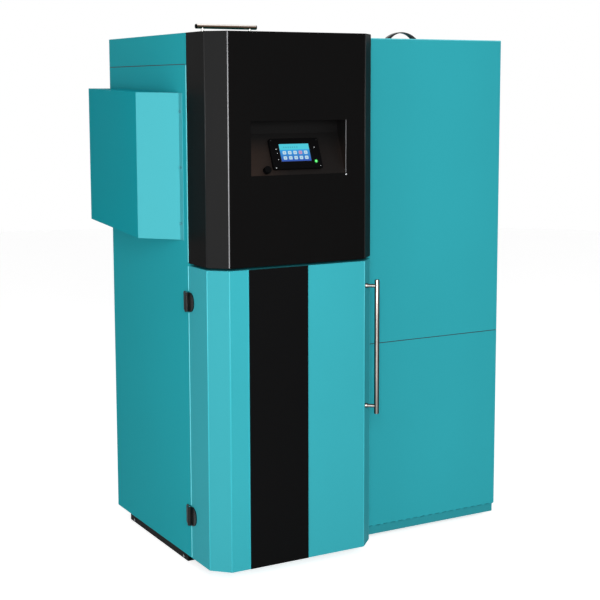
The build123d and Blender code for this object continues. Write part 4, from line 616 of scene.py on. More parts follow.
@dataclass(frozen=True)
class LitDisplay(Finish):
    """Lit touch screen with a pale header and two rows of round-cornered tiles, without any writing."""

    columns: float = 5.0
    strength: float = 0.9

    def paint(self) -> Paint:
        """The screen's own map sets the header, the blue gradient and the tiles."""
        paint = Paint(self.name)
        across, up = paint.sheet()
        header = up.above(0.66)
        marks = (up - 0.80).size().below(0.035) * (across * 14.0).fraction().below(0.55) * across.span(0.1, 0.12)
        marks = marks * across.below(0.62)
        sky = paint.blend(up.span(0.0, 0.66), (0.006, 0.060, 0.44), (0.015, 0.36, 0.80))
        column = (across - 0.06) * (self.columns / 0.88)
        row = (up - 0.06) * (2.0 / 0.58)
        inset_x = (column.fraction() - 0.5).size() * 2.0
        inset_y = (row.fraction() - 0.5).size() * 2.0
        corner = inset_x.power(6.0) + inset_y.power(6.0)
        inside = (across - 0.5).size().below(0.44) * (up - 0.35).size().below(0.29)
        tile = corner.below(0.07) * inside
        pick = (column.whole() - 3.0).size().below(0.5) * (row.whole() - 1.0).size().below(0.5)
        face = paint.blend(pick, (0.55, 0.78, 0.90), (0.62, 0.30, 0.52))
        dot = (inset_x.power(2.0) + inset_y.power(2.0)).below(0.09)
        face = paint.blend(dot * 0.6, face, (0.10, 0.34, 0.62))
        lit = paint.blend(tile, sky, face)
        top = paint.blend(marks * 0.7, (0.05, 0.62, 0.76), (0.03, 0.30, 0.40))
        picture = paint.blend(header, lit, top)
        edge = ((across - 0.5).size() * 2.0).most((up - 0.5).size() * 2.0).above(0.972)
        picture = paint.blend(edge, picture, (0.004, 0.004, 0.005))
        paint.set(Base_Color=(0.01, 0.01, 0.012), Roughness=0.10, Emission_Color=picture)
        paint.set(Emission_Strength=self.strength, Specular_IOR_Level=0.25)
        return paint


@dataclass(frozen=True)
class LitLens(Finish):
    """Lit lamp or mark, a little brighter in its middle."""

    colour: Colour
    strength: float

    def paint(self) -> Paint:
        """Fine cells spread the light unevenly, as a frosted lens does."""
        paint = Paint(self.name)
        frost = paint.cells(1800.0)
        glow = paint.blend(frost.span(0.0, 0.9), self.colour, tint(self.colour, 0.7))
        paint.set(Base_Color=tint(self.colour, 0.6), Roughness=0.25, Emission_Color=glow)
        paint.set(Emission_Strength=self.strength)
        return paint


TEAL: Colour = (0.031, 0.372, 0.430)


class Finishes(Enum):
    """Every finish on the object."""

    TEAL_PAINT = PowderCoat("teal_powder_coat", TEAL, 0.46, 0.10, 0.025, 0.05)
    # Painted shade: a darker, duller copy of the teal for the side, top and tank-shell faces, which take less light.
    TEAL_SIDE_SHADED = PowderCoat("teal_side_shaded_coat", (0.020, 0.365, 0.420), 0.50, 0.10, 0.025, 0.012)
    # Painted highlight: a lighter teal for the folds and beads that catch the light.
    TEAL_FOLD_HIGHLIGHT = PowderCoat("teal_fold_highlight", tint(TEAL, 1.18), 0.34, 0.06, 0.02, 0.30)
    # Painted highlight: a light teal for the bright lines along the left panel's hems and the tank lid's front edge.
    TEAL_EDGE_HIGHLIGHT = PowderCoat("teal_edge_highlight", (0.15, 0.65, 0.71), 0.34, 0.06, 0.04, 0.30)
    PLINTH_PAINT = PowderCoat("plinth_powder_coat", tint(TEAL, 0.80), 0.50, 0.10, 0.03, 0.15)
    # Painted highlight: the black cover's left chamfer is painted a lighter black, for the light that it catches.
    BLACK_PAINT = ZonedCoat(
        "black_powder_coat", (0.0040, 0.0038, 0.0038), 0.40, 0.10, 0.06, 0.020,
        0, (CASE.left + 2.0, CASE.left + 45.5), (0.0148, 0.0148, 0.0150),
    )
    # Painted shading: the service cover's teal is darker for its side faces and lighter on its slanted front zone,
    # for the light each face takes.
    SERVICE_PAINT = ZonedCoat(
        "service_cover_coat", (0.004, 0.325, 0.385), 0.50, 0.10, 0.025, 0.010,
        1, (CASE.front - 5.0, CASE.front + 123.0), (0.066, 0.405, 0.458),
    )
    # Painted shading: the door has its own tone of the teal, and its left chamfer another, for the light each face
    # takes.
    DOOR_PAINT = ZonedCoat(
        "door_powder_coat", (0.037, 0.364, 0.420), 0.46, 0.10, 0.025, 0.05,
        0, (CASE.left + 2.0, CASE.left + 45.5), (0.040, 0.338, 0.388),
    )
    # Painted highlight: a lightened black for the cover's folds.
    BLACK_FOLD_HIGHLIGHT = PowderCoat("black_fold_highlight", (0.0095, 0.0095, 0.0100), 0.34, 0.06, 0.05, 0.15)
    # Painted highlight: grey for the bright line on the cover's left front fold and on the recess's rim.
    BLACK_EDGE_HIGHLIGHT = PowderCoat("black_edge_highlight", (0.27, 0.27, 0.28), 0.34, 0.06, 0.22, 0.30)
    BLACK_STRIPE = PowderCoat("black_stripe_film", (0.0044, 0.0044, 0.0046), 0.40, 0.06, 0.05, 0.02)
    CONSOLE_PAINT = ShadedCoat("console_powder_coat")
    HINGE_BLACK = PowderCoat("hinge_black", (0.008, 0.008, 0.008), 0.22, 0.04, 0.05, 0.35)
    SKID_PAINT = PowderCoat("skid_paint", (0.010, 0.010, 0.010), 0.55, 0.30, 0.10, 0.15)
    MOTOR_PAINT = PowderCoat("motor_paint", (0.045, 0.055, 0.070), 0.45, 0.30, 0.06)
    ZINC_SHEET = RolledSheet("galvanised_sheet")
    BOILER_PLATE = RawPlate("boiler_plate")
    CAST_IRON = CastIron("sand_cast_iron")
    STEEL_UPRIGHT = BrushedSteel("brushed_steel_upright", grain=Grain.ALONG_Z)
    STEEL_ACROSS = BrushedSteel("brushed_steel_across", grain=Grain.ALONG_X)
    STEEL_BRIGHT = BrushedSteel("zinc_plated_steel", (0.70, 0.71, 0.73), 0.24, Grain.ROUND)
    STEEL_PALE = BrushedSteel("pale_brushed_steel", (0.72, 0.70, 0.67), 0.30, Grain.ALONG_Z)
    BRIGHT_THREAD = BrushedSteel("cut_thread", (0.42, 0.42, 0.43), 0.30, Grain.ALONG_Y)
    BAND_UPRIGHT = BandedSteel(
        "banded_steel_upright", 0.668, 0.035, (0.42, 0.39, 0.36), (0.035, 0.030, 0.026), 0.34,
    )
    BAND_POST = BandedSteel("banded_steel_post", 0.50, 0.06, (0.36, 0.34, 0.32), (0.05, 0.045, 0.04), 0.36)
    BAND_ACROSS = BandedSteel("banded_steel_across", 0.33, 0.07, (0.62, 0.58, 0.54), (0.13, 0.075, 0.05))
    BLACK_PLASTIC = MouldedPlastic("black_moulded_plastic", (0.0018, 0.0018, 0.0020), 0.42, 0.15, 0.02)
    GREY_PLASTIC = MouldedPlastic("grey_moulded_plastic", (0.30, 0.31, 0.32), 0.55)
    RED_PLASTIC = MouldedPlastic("red_moulded_plastic", (0.45, 0.018, 0.012), 0.40)
    RUBBER = MouldedPlastic("black_rubber", (0.013, 0.013, 0.013), 0.75, 0.4)
    ROPE = BraidedRope("glass_rope")
    FIRE_BOARD = FireBoard("refractory_board")
    WOOL = MineralWool("mineral_wool")
    BRASS = Brass("turned_brass")
    DISPLAY = LitDisplay("lit_display")
    GREEN_LAMP = LitLens("green_lamp", (0.10, 0.95, 0.16), 1.6)
    # Painted glow: the collar round the lamp glows as the lamp's halo.
    GREEN_HALO_GLOW = LitLens("green_halo_glow", (0.02, 0.34, 0.05), 0.6)
    WHITE_MARK = LitLens("white_mark", (0.75, 0.78, 0.80), 0.5)


def dress(piece: bpy.types.Object, finish: Finishes) -> bpy.types.Object:
    """Give a piece one finish."""
    piece.data.materials.clear()
    piece.data.materials.append(finish.value.material())
    return piece


def dress_nodes(finish: Finishes, *names: str) -> None:
    """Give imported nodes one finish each."""
    for name in names:
        dress(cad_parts[name], finish)
        LOG.info("dressed %s with %s", name, finish.value.name)


# Surfaces


class Facing(Enum):
    """Right and up of a flat place, as seen from outside it."""

    FRONT = ((1.0, 0.0, 0.0), (0.0, 0.0, 1.0))
    LEFT = ((0.0, -1.0, 0.0), (0.0, 0.0, 1.0))
    RIGHT = ((0.0, 1.0, 0.0), (0.0, 0.0, 1.0))
    BACK = ((-1.0, 0.0, 0.0), (0.0, 0.0, 1.0))
    UP = ((1.0, 0.0, 0.0), (0.0, 1.0, 0.0))
    DOWN = ((1.0, 0.0, 0.0), (0.0, -1.0, 0.0))
    CONSOLE = ((1.0, 0.0, 0.0), (0.0, 0.3822, 0.9241))
    CHAMFER = ((0.7071, 0.7071, 0.0), (0.0, 0.0, 1.0))


@dataclass(frozen=True)
class Place:
    """A spot on the object in casing millimetres, and the way that it faces."""

    origin: Point
    facing: Facing

    def put(self, local: np.ndarray) -> np.ndarray:
        """Turn points given along right, up and out, in millimetres, into row metres."""
        right, up = (np.array(axis) for axis in self.facing.value)
        axes = np.stack([right, up, np.cross(right, up)])
        corner = np.array([CASE.left, CASE.front, 0.0]) + np.array(self.origin)
        return (corner + local @ axes) * 0.001


def circle(radius: float, count: int, squash: float = 1.0) -> np.ndarray:
    """Closed round section: cosine and sine of even angles."""
    angles = np.linspace(0, 2 * np.pi, count, endpoint=False)
    return np.stack([radius * np.cos(angles), squash * radius * np.sin(angles)], axis=1)


def rounded(width: float, height: float, radius: float, count: int) -> np.ndarray:
    """Rounded rectangle: quarter circles of count points moved out to the four corners."""
    radius = max(min(radius, width / 2, height / 2), 0.01)
    quarters = [np.linspace(start, start + np.pi / 2, count) for start in np.arange(4) * np.pi / 2]
    angles = np.concatenate(quarters)
    signs = np.repeat(np.array([(1, 1), (-1, 1), (-1, -1), (1, -1)]), count, axis=0)
    arcs = np.stack([np.cos(angles), np.sin(angles)], axis=1) * radius
    return arcs + signs * (np.array([width, height]) / 2 - radius)


class Loft:
    """A closed skin through rings of points at a place, with its own surface map."""

    def __init__(self, place: Place, rings: np.ndarray, looped: bool = False, plan: Any = None) -> None:
        """Keep the rings.

        Args:
            place: where the local millimetres lie.
            rings: rows x columns x 3 local points.
            looped: whether the last ring joins the first.
            plan: width and height of a flat surface map; otherwise it runs round and along the rings.
        """
        self.place = place
        self.rings = rings
        self.looped = looped
        self.plan = plan

    @classmethod
    def turned(
        cls,
        place: Place,
        profile: Sequence[tuple[float, float]],
        count: int = 24,
        swell: Callable[[np.ndarray, np.ndarray], np.ndarray] | None = None,
    ) -> Loft:
        """Turn (radius, height) pairs about the outward axis; swell adds to the radius by angle and height."""
        radius, height = (column[:, None] for column in np.array(profile, float).T)
        angle = np.linspace(0, 2 * np.pi, count, endpoint=False)[None, :]
        reach = radius + (swell(angle, height) * (radius > 0) if swell else 0.0 * angle)
        rings = np.stack([reach * np.cos(angle), reach * np.sin(angle), height + 0 * angle], axis=2)
        return cls(place, rings)

    @classmethod
    def slab(
        cls,
        place: Place,
        width: float,
        height: float,
        corner: float,
        layers: Sequence[tuple[float, float]],
        count: int = 5,
    ) -> Loft:
        """Rounded plate; each layer is (inset, distance out)."""
        rings = [
            np.column_stack([
                rounded(width - 2 * inset, height - 2 * inset, corner - inset, count),
                np.full(4 * count, out),
            ])
            for inset, out in layers
        ]
        return cls(place, np.array(rings), plan=(width, height))

    @classmethod
    def run(cls, place: Place, path: np.ndarray, section: np.ndarray, looped: bool = False) -> Loft:
        """Carry a section (side, out) along a path (right, up, out); side is square to the path."""
        ahead = np.roll(path, -1, axis=0) - np.roll(path, 1, axis=0) if looped else np.gradient(path, axis=0)
        side = np.stack([ahead[:, 1], -ahead[:, 0], 0 * ahead[:, 0]], axis=1)
        side /= np.linalg.norm(side, axis=1, keepdims=True)
        out = np.array([0.0, 0.0, 1.0])
        sections = section if section.ndim == 3 else section[None]
        rings = path[:, None, :] + sections[..., :1] * side[:, None, :] + sections[..., 1:] * out
        return cls(place, rings, looped)

    def faces(self) -> np.ndarray:
        """Corner numbers of the quads between neighbouring rings."""
        rows, columns = self.rings.shape[:2]
        row, column = np.meshgrid(np.arange(rows if self.looped else rows - 1), np.arange(columns), indexing="ij")
        after, beside = (row + 1) % rows, (column + 1) % columns
        corners = [row * columns + column, row * columns + beside, after * columns + beside, after * columns + column]
        return np.stack(corners, axis=2).reshape(-1, 4)

    def caps(self) -> list[list[int]]:
        """The first and the last ring as faces, where the skin isn't looped."""
        rows, columns = self.rings.shape[:2]
        ends = [list(range(columns))[::-1], list(range((rows - 1) * columns, rows * columns))]
        return [] if self.looped else ends

    def surface(self) -> np.ndarray:
        """Surface map of every face corner, in the order of the faces and the caps."""
        rows, columns = self.rings.shape[:2]
        order = np.concatenate([self.faces().ravel(), *(np.array(cap) for cap in self.caps())]).astype(int)
        if self.plan:
            flat = self.rings.reshape(-1, 3)[order]
            return flat[:, :2] / np.array(self.plan) + 0.5
        spread = np.stack([order % columns / columns, order // columns / max(rows - 1, 1)], axis=1)
        quads = len(self.faces())
        first, last = spread[: 4 * quads : 4, 0], spread[1 : 4 * quads : 4, 0]
        wrapped = np.repeat(last < first, 4)
        corner = np.tile([False, True, True, False], quads)
        spread[: 4 * quads, 0] += wrapped & corner
        return spread


def close(mesh: bpy.types.Mesh) -> None:
    """Merge doubled points, point the faces outwards and smooth all but the sharp edges."""
    net = bmesh.new()
    net.from_mesh(mesh)
    bmesh.ops.remove_doubles(net, verts=net.verts, dist=1e-6)
    bmesh.ops.dissolve_degenerate(net, edges=net.edges, dist=1e-7)
    bmesh.ops.recalc_face_normals(net, faces=net.faces)
    net.to_mesh(mesh)
    net.free()
    mesh.shade_smooth()
    mesh.set_sharp_from_angle(angle=math.radians(38))


def piece(
    name: str,
    body: str,
    finish: Finishes,
    slot: str,
    skins: Sequence[Loft],
    stands_for: Sequence[str] = (),
) -> bpy.types.Object:
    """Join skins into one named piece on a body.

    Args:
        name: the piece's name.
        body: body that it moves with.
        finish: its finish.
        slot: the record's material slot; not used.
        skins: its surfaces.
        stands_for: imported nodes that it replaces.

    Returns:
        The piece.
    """
    points, faces, surface = [], [], []
    for skin in skins:
        start = sum(len(group) for group in points)
        points.append(skin.place.put(skin.rings.reshape(-1, 3)))
        faces += (skin.faces() + start).tolist()
        faces += [[corner + start for corner in cap] for cap in skin.caps()]
        surface.append(skin.surface())
    mesh = bpy.data.meshes.new(name)
    mesh.from_pydata(np.concatenate(points).tolist(), [], faces)
    layer = mesh.uv_layers.new(name="surface")
    layer.data.foreach_set("uv", np.concatenate(surface).ravel())
    close(mesh)
    made = bpy.data.objects.new(name, mesh)
    bpy.context.scene.collection.objects.link(made)
    dress(made, finish)
    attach(made, body)
    if stands_for:
        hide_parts(*stands_for)
    LOG.info("built %s on %s: %d faces", name, body, len(mesh.polygons))
    return made


@dataclass(frozen=True)
class Fastener:
    """Screws and nuts with their heads' sizes in millimetres."""

    radius: float
    rise: float

    def pan_head(self, place: Place) -> Loft:
        """Domed screw head with a round recess."""
        r, h = self.radius, self.rise
        profile = [
            (0.0, 0.0), (r, 0.0), (r, 0.35 * h), (0.86 * r, 0.75 * h), (0.5 * r, h), (0.36 * r, h),
            (0.3 * r, 0.35 * h),
            (0.0, 0.3 * h),
        ]
        return Loft.turned(place, profile, 16)

    def hexagon(self, place: Place) -> Loft:
        """Six-sided nut: the radius over even angles, divided by the cosine inside each side."""
        r, h = self.radius, self.rise

        def sides(angle: np.ndarray, height: np.ndarray) -> np.ndarray:
            """Extra reach of a hexagon over its inner circle, less near the ends."""
            inside = np.mod(angle, np.pi / 3) - np.pi / 6
            full = r * (1 / np.cos(inside) - 1)
            return full * np.clip(np.minimum(height, h - height) / (0.12 * h) + 0.35, 0, 1)

        profile = [(0.0, 0.0), (r, 0.0), (r, 0.1 * h), (r, 0.9 * h), (r, h), (0.0, h)]
        return Loft.turned(place, profile, 36, sides)


def crease(edge: tuple[float, float], inward: tuple[float, float], span: tuple[float, float], radius: float) -> Loft:
    """Rounded fold over an upright edge.

    Args:
        edge: x and y of the edge.
        inward: direction from the edge into the sheet.
        span: heights of its foot and head.
        radius: outer radius of the fold.

    Returns:
        The fold's skin.
    """
    depth = radius - 0.3
    foot, head = span
    tall = head - foot
    place = Place((edge[0] + inward[0] * depth, edge[1] + inward[1] * depth, foot), Facing.UP)
    profile = [
        (0.0, 0.0), (0.7 * radius, 0.0), (radius, 0.5 * radius), (radius, tall - 0.5 * radius), (0.7 * radius, tall),
        (0.0, tall),
    ]
    return Loft.turned(place, profile, 20)


SIDE_TO_CHAMFER = (0.924, 0.383)
CHAMFER_TO_FRONT = (0.383, 0.924)


# Studio


@dataclass
class Studio:
    """Floor, lights, white surroundings and the camera."""

    camera_at: Point = (-1.490, -3.264, 1.349)
    yaw_degrees: float = 29.404
    pitch_degrees: float = 7.146
    roll_degrees: float = -0.145
    focal_pixels: float = 1322.0
    frame_pixels: float = 600.0
    centre_row: float = 255.0
    ambient: float = 0.2
    floor_lift: float = 0.75
    boxes: tuple[tuple[str, Point, Point, float, float], ...] = (
        ("camera_softbox", (-1.6, -3.7, 1.8), (0.0, -0.3, 0.75), 1.4, 112.0),
        ("left_softbox", (-3.6, -2.1, 0.95), (-0.3, -0.3, 0.8), 1.15, 36.0),
        ("top_softbox", (0.0, -0.4, 4.4), (0.0, 0.0, 0.0), 2.4, 30.0),
    )

    def build(self) -> None:
        """Make everything that isn't part of the object."""
        self.floor()
        self.world()
        self.lights()
        self.camera()

    def floor(self) -> None:
        """A large pale disc that the camera sees as white and that keeps the shadow."""
        angles = np.linspace(0, 2 * np.pi, 96, endpoint=False)
        rim = np.stack([9 * np.cos(angles), 9 * np.sin(angles), np.zeros(96)], axis=1)
        mesh = bpy.data.meshes.new("floor")
        mesh.from_pydata(rim.tolist(), [], [list(range(96))])
        floor = bpy.data.objects.new("floor", mesh)
        bpy.context.scene.collection.objects.link(floor)
        paint = Paint("floor_white")
        speck = paint.noise(3.0, 2.0)
        seen = paint.node("ShaderNodeLightPath", output="Is Camera Ray")
        paint.set(Base_Color=paint.blend(speck, (0.80, 0.80, 0.80), (0.83, 0.83, 0.83)), Roughness=0.9)
        paint.set(Emission_Color=(1.0, 1.0, 1.0), Emission_Strength=seen * self.floor_lift)
        mesh.materials.append(paint.material)

    def world(self) -> None:
        """Dim light all round; rays from the camera, mirrors and glass meet plain white."""
        world = bpy.data.worlds.new("studio")
        bpy.context.scene.world = world
        world.use_nodes = True
        tree = world.node_tree
        tree.nodes.clear()
        output = tree.nodes.new("ShaderNodeOutputWorld")
        mix = tree.nodes.new("ShaderNodeMixShader")
        path = tree.nodes.new("ShaderNodeLightPath")
        seen = path.outputs["Is Camera Ray"]
        for name in ("Is Glossy Ray", "Is Transmission Ray"):
            either = tree.nodes.new("ShaderNodeMath")
            either.operation = "MAXIMUM"
            tree.links.new(seen, either.inputs[0])
            tree.links.new(path.outputs[name], either.inputs[1])
            seen = either.outputs[0]
        for slot, strength in ((1, self.ambient), (2, 1.0)):
            shade = tree.nodes.new("ShaderNodeBackground")
            shade.inputs["Color"].default_value = (1.0, 1.0, 1.0, 1.0)
            shade.inputs["Strength"].default_value = strength
            tree.links.new(shade.outputs[0], mix.inputs[slot])
        tree.links.new(seen, mix.inputs[0])
        tree.links.new(mix.outputs[0], output.inputs["Surface"])

    def lights(self) -> None:
        """A soft box beside the camera, one at the left and a weak one overhead."""
        for name, place, aim, width, power in self.boxes:
            lamp = bpy.data.lights.new(name, "AREA")
            lamp.shape = "SQUARE"
            lamp.size = width
            lamp.energy = power
            holder = bpy.data.objects.new(name, lamp)
            holder.location = place
            holder.rotation_euler = (Vector(aim) - Vector(place)).to_track_quat("-Z", "Y").to_euler()
            bpy.context.scene.collection.objects.link(holder)

    def camera(self) -> None:
        """A camera solved on the casing's corners, with a small upward shift as in the photograph."""
        yaw, pitch, roll = (math.radians(v) for v in (self.yaw_degrees, self.pitch_degrees, self.roll_degrees))
        forward = Vector((
            math.sin(yaw) * math.cos(pitch),
            math.cos(yaw) * math.cos(pitch),
            -math.sin(pitch),
        ))
        right = Vector((math.cos(yaw), -math.sin(yaw), 0.0))
        up = right.cross(forward)
        turned_right = right * math.cos(roll) + up * math.sin(roll)
        turned_up = up * math.cos(roll) - right * math.sin(roll)
        lens = bpy.data.cameras.new("camera")
        lens.sensor_width = 36.0
        lens.lens = self.focal_pixels / self.frame_pixels * lens.sensor_width
        lens.shift_y = (self.centre_row - self.frame_pixels / 2) / self.frame_pixels
        lens.clip_end = 50.0
        camera = bpy.data.objects.new("camera", lens)
        turn = Matrix((turned_right, turned_up, -forward)).transposed().to_4x4()
        camera.matrix_world = Matrix.Translation(CASE.at(*(1000 * v for v in self.camera_at))) @ turn
        bpy.context.scene.collection.objects.link(camera)
        bpy.context.scene.camera = camera
        view = bpy.context.scene.view_settings
        view.view_transform = "Standard"


# Sub-assemblies


@dataclass
class Nodes:
    """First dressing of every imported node."""

    def dress(self) -> None:
        """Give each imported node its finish."""
        dress_nodes(
            Finishes.TEAL_PAINT,
            "tank_upper_front", "tank_lower_front", "tank_lid",
        )
        dress_nodes(Finishes.DOOR_PAINT, "lower_door")
        dress_nodes(Finishes.SERVICE_PAINT, "service_cover")
        # Painted shade: the side panels, tank shell and top cover take the darker copy of the teal.
        dress_nodes(Finishes.TEAL_SIDE_SHADED, "left_side_panel", "right_side_panel", "tank_shell", "top_cover")
        dress_nodes(Finishes.PLINTH_PAINT, "tank_plinth")
        dress_nodes(Finishes.BLACK_PAINT, "upper_cover")
        dress_nodes(Finishes.HINGE_BLACK, "casing_hinge_leaves", "door_hinge_leaves", "tank_lid_handle")
        dress_nodes(Finishes.BLACK_STRIPE, "door_stripe")
        dress_nodes(Finishes.CONSOLE_PAINT, "console_panel")
        dress_nodes(Finishes.SKID_PAINT, "base_skid", "front_frame")
        dress_nodes(Finishes.MOTOR_PAINT, "cleaning_gearmotor", "auger_gearmotor", "flue_fan_motor")
        dress_nodes(
            Finishes.ZINC_SHEET,
            "rear_panel", "flue_fan_housing", "drop_chute", "hopper_funnel", "auger_tube", "door_shield",
        )
        dress_nodes(
            Finishes.BOILER_PLATE,
            "vessel_shell", "heat_exchanger", "flue_chamber", "chamber_lid", "burner_body", "water_stubs",
            "turbulator_rack", "cleaning_shaft", "flue_fan_impeller", "auger", "ash_box",
        )
        dress_nodes(Finishes.CAST_IRON, "burner_bowl", "furnace_door")
        dress_nodes(Finishes.STEEL_UPRIGHT, "door_handle_bar", "door_handle_posts", "furnace_latch", "igniter")
        dress_nodes(Finishes.STEEL_ACROSS, "top_handle")
        dress_nodes(Finishes.STEEL_BRIGHT, "casing_screws", "hinge_pins")
        dress_nodes(
            Finishes.BLACK_PLASTIC,
            "controller_bezel", "thermostat_cap", "connection_box", "door_magnets",
        )
        dress_nodes(Finishes.RED_PLASTIC, "reset_button", "drain_lever")
        dress_nodes(Finishes.RUBBER, "tank_feet")
        dress_nodes(Finishes.FIRE_BOARD, "furnace_lining")
        dress_nodes(Finishes.WOOL, "insulation_jacket", "furnace_seal")
        dress_nodes(Finishes.BRASS, "drain_valve")
        dress_nodes(Finishes.GREY_PLASTIC, "screen_glass", "status_lamps")


@dataclass
class Casing:
    """Small pieces of the boiler's fixed casing: hems and service cover's fold, both painted light as highlights,
    seal under the lift-off cover.
    """

    hem_width: float = 2.8
    hem_rise: float = 1.5
    hem_spans: tuple[tuple[float, float], ...] = ((47, 138), (198, 743), (803, 871), (881, 1414))
    service_corner: tuple[float, float] = (-94.3, 123.2)
    service_span: tuple[float, float] = (942.0, 1342.0)
    service_fold: float = 2.2
    cap_seam: float = 1416.4
    seam_width: float = 2.0

    def build(self) -> None:
        """Make the hems, the fold and the seal."""
        hems = [
            Loft.slab(
                Place((0.0, -0.4, (foot + head) / 2), Facing.LEFT),
                self.hem_width, head - foot, 1.2,
                [(0.3, -0.4), (0, 0.2), (0, 0.9), (0.5, self.hem_rise), (1.0, self.hem_rise)],
            )
            for foot, head in self.hem_spans
        ]
        # Painted highlight: the hems are painted a light teal.
        piece("left_panel_hem", "boiler", Finishes.TEAL_EDGE_HIGHLIGHT, "teal_paint", hems)
        # Painted highlight: the service cover's fold is painted a lighter teal.
        fold = crease(self.service_corner, (0.888, 0.455), self.service_span, self.service_fold)
        piece("service_cover_fold", "boiler", Finishes.TEAL_FOLD_HIGHLIGHT, "teal_paint", [fold])
        seam = Loft.slab(
            Place((0.0, CASE.depth / 2, self.cap_seam), Facing.LEFT),
            CASE.depth - 6.0, self.seam_width, 0.4, [(0.2, -1.0), (0, 0.05), (0.1, 0.25), (0.3, 0.3)],
        )
        piece("cap_seam_seal", "boiler", Finishes.RUBBER, "rubber", [seam])


@dataclass
class LowerDoor:
    """Folds of the door and edge bead of its stripe, painted a lighter teal as highlights, its bar handle and hinge
    rings.
    """

    span: tuple[float, float] = (46.0, 871.0)
    side: float = 114.5
    face: float = 160.0
    chamfer: float = 45.5
    fold: float = 2.2
    stripe: float = 103.0
    bead: float = 1.3
    bar_at: tuple[float, float] = (497.83, -176.33)
    bar_span: tuple[float, float] = (435.5, 819.5)
    bar_radius: float = 7.0
    post_radius: float = 5.0
    post_foot: tuple[float, float] = (474.5, -153.0)
    post_reach: float = 33.0
    post_heights: tuple[float, float] = (457.5, 801.5)
    hinge_feet: tuple[float, float] = (141.0, 746.0)
    hinge_height: float = 54.0

    def build(self) -> None:
        """Make every small piece of the door."""
        self.folds()
        self.handle()
        self.hinges()

    def folds(self) -> None:
        """Rounded folds at the chamfers and a bead along the left of the stripe, both painted a lighter teal as
        highlights.
        """
        width = CASE.width
        side, face, chamfer = self.side, self.face, self.chamfer
        # Painted highlight: the door's folds are painted a lighter teal.
        folds = [
            crease((0.0, -side), SIDE_TO_CHAMFER, self.span, self.fold),
            crease((chamfer, -face), CHAMFER_TO_FRONT, self.span, self.fold),
            crease((width - chamfer, -face), (-CHAMFER_TO_FRONT[0], CHAMFER_TO_FRONT[1]), self.span, self.fold),
            crease((width, -side), (-SIDE_TO_CHAMFER[0], SIDE_TO_CHAMFER[1]), self.span, self.fold),
        ]
        piece("door_folds", "lower_door", Finishes.TEAL_FOLD_HIGHLIGHT, "teal_paint", folds)
        foot, head = self.span
        # Painted highlight: the stripe's bead is painted a lighter teal.
        bead = Loft.slab(
            Place((self.stripe - 2.6, -face, (foot + head) / 2), Facing.FRONT),
            2 * self.bead, head - foot, self.bead, [(0.2, -0.5), (0, 0.3), (0.1, 1.0), (0.6, 1.5), (1.0, 1.5)],
        )
        piece("stripe_bead", "lower_door", Finishes.TEAL_FOLD_HIGHLIGHT, "teal_paint", [bead])

    def handle(self) -> None:
        """Brushed bar with domed ends, and posts with collars on the chamfer."""
        r = self.bar_radius
        foot, head = self.bar_span
        tall = head - foot
        profile = [
            (0.0, 0.0), (0.80 * r, 0.0), (0.94 * r, 0.4), (r, 1.4), (r, 0.33 * tall), (r, 0.67 * tall),
            (r, tall - 1.4), (0.94 * r, tall - 0.4), (0.80 * r, tall), (0.0, tall),
        ]
        bar = Loft.turned(Place((*self.bar_at, foot), Facing.UP), profile, 48)
        piece("handle_bar_brushed", "lower_door", Finishes.BAND_UPRIGHT, "stainless", [bar], ["door_handle_bar"])
        p, reach = self.post_radius, self.post_reach
        posts = [
            Loft.turned(
                Place((*self.post_foot, height), Facing.CHAMFER),
                [
                    (0.0, 0.0), (p + 1.5, 0.0), (p + 1.5, 6.2), (p + 0.9, 7.0), (p, 7.3), (p, reach - 5.0),
                    (p - 0.6, reach - 2.0), (0.0, reach - 1.0),
                ],
                32,
            )
            for height in self.post_heights
        ]
        piece("handle_posts_turned", "lower_door", Finishes.BAND_POST, "stainless", posts, ["door_handle_posts"])

    def hinges(self) -> None:
        """Rings where the knuckles of each hinge meet."""
        rings = [
            Loft.turned(
                Place((-6.4, 0.0, foot + share * self.hinge_height), Facing.UP),
                [(5.2, -0.5), (6.12, -0.5), (6.25, 0.0), (6.12, 0.5), (5.2, 0.5)],
                32,
            )
            for foot in self.hinge_feet
            for share in (0.34, 0.66)
        ]
        piece("hinge_rings", "boiler", Finishes.HINGE_BLACK, "black_paint", rings)


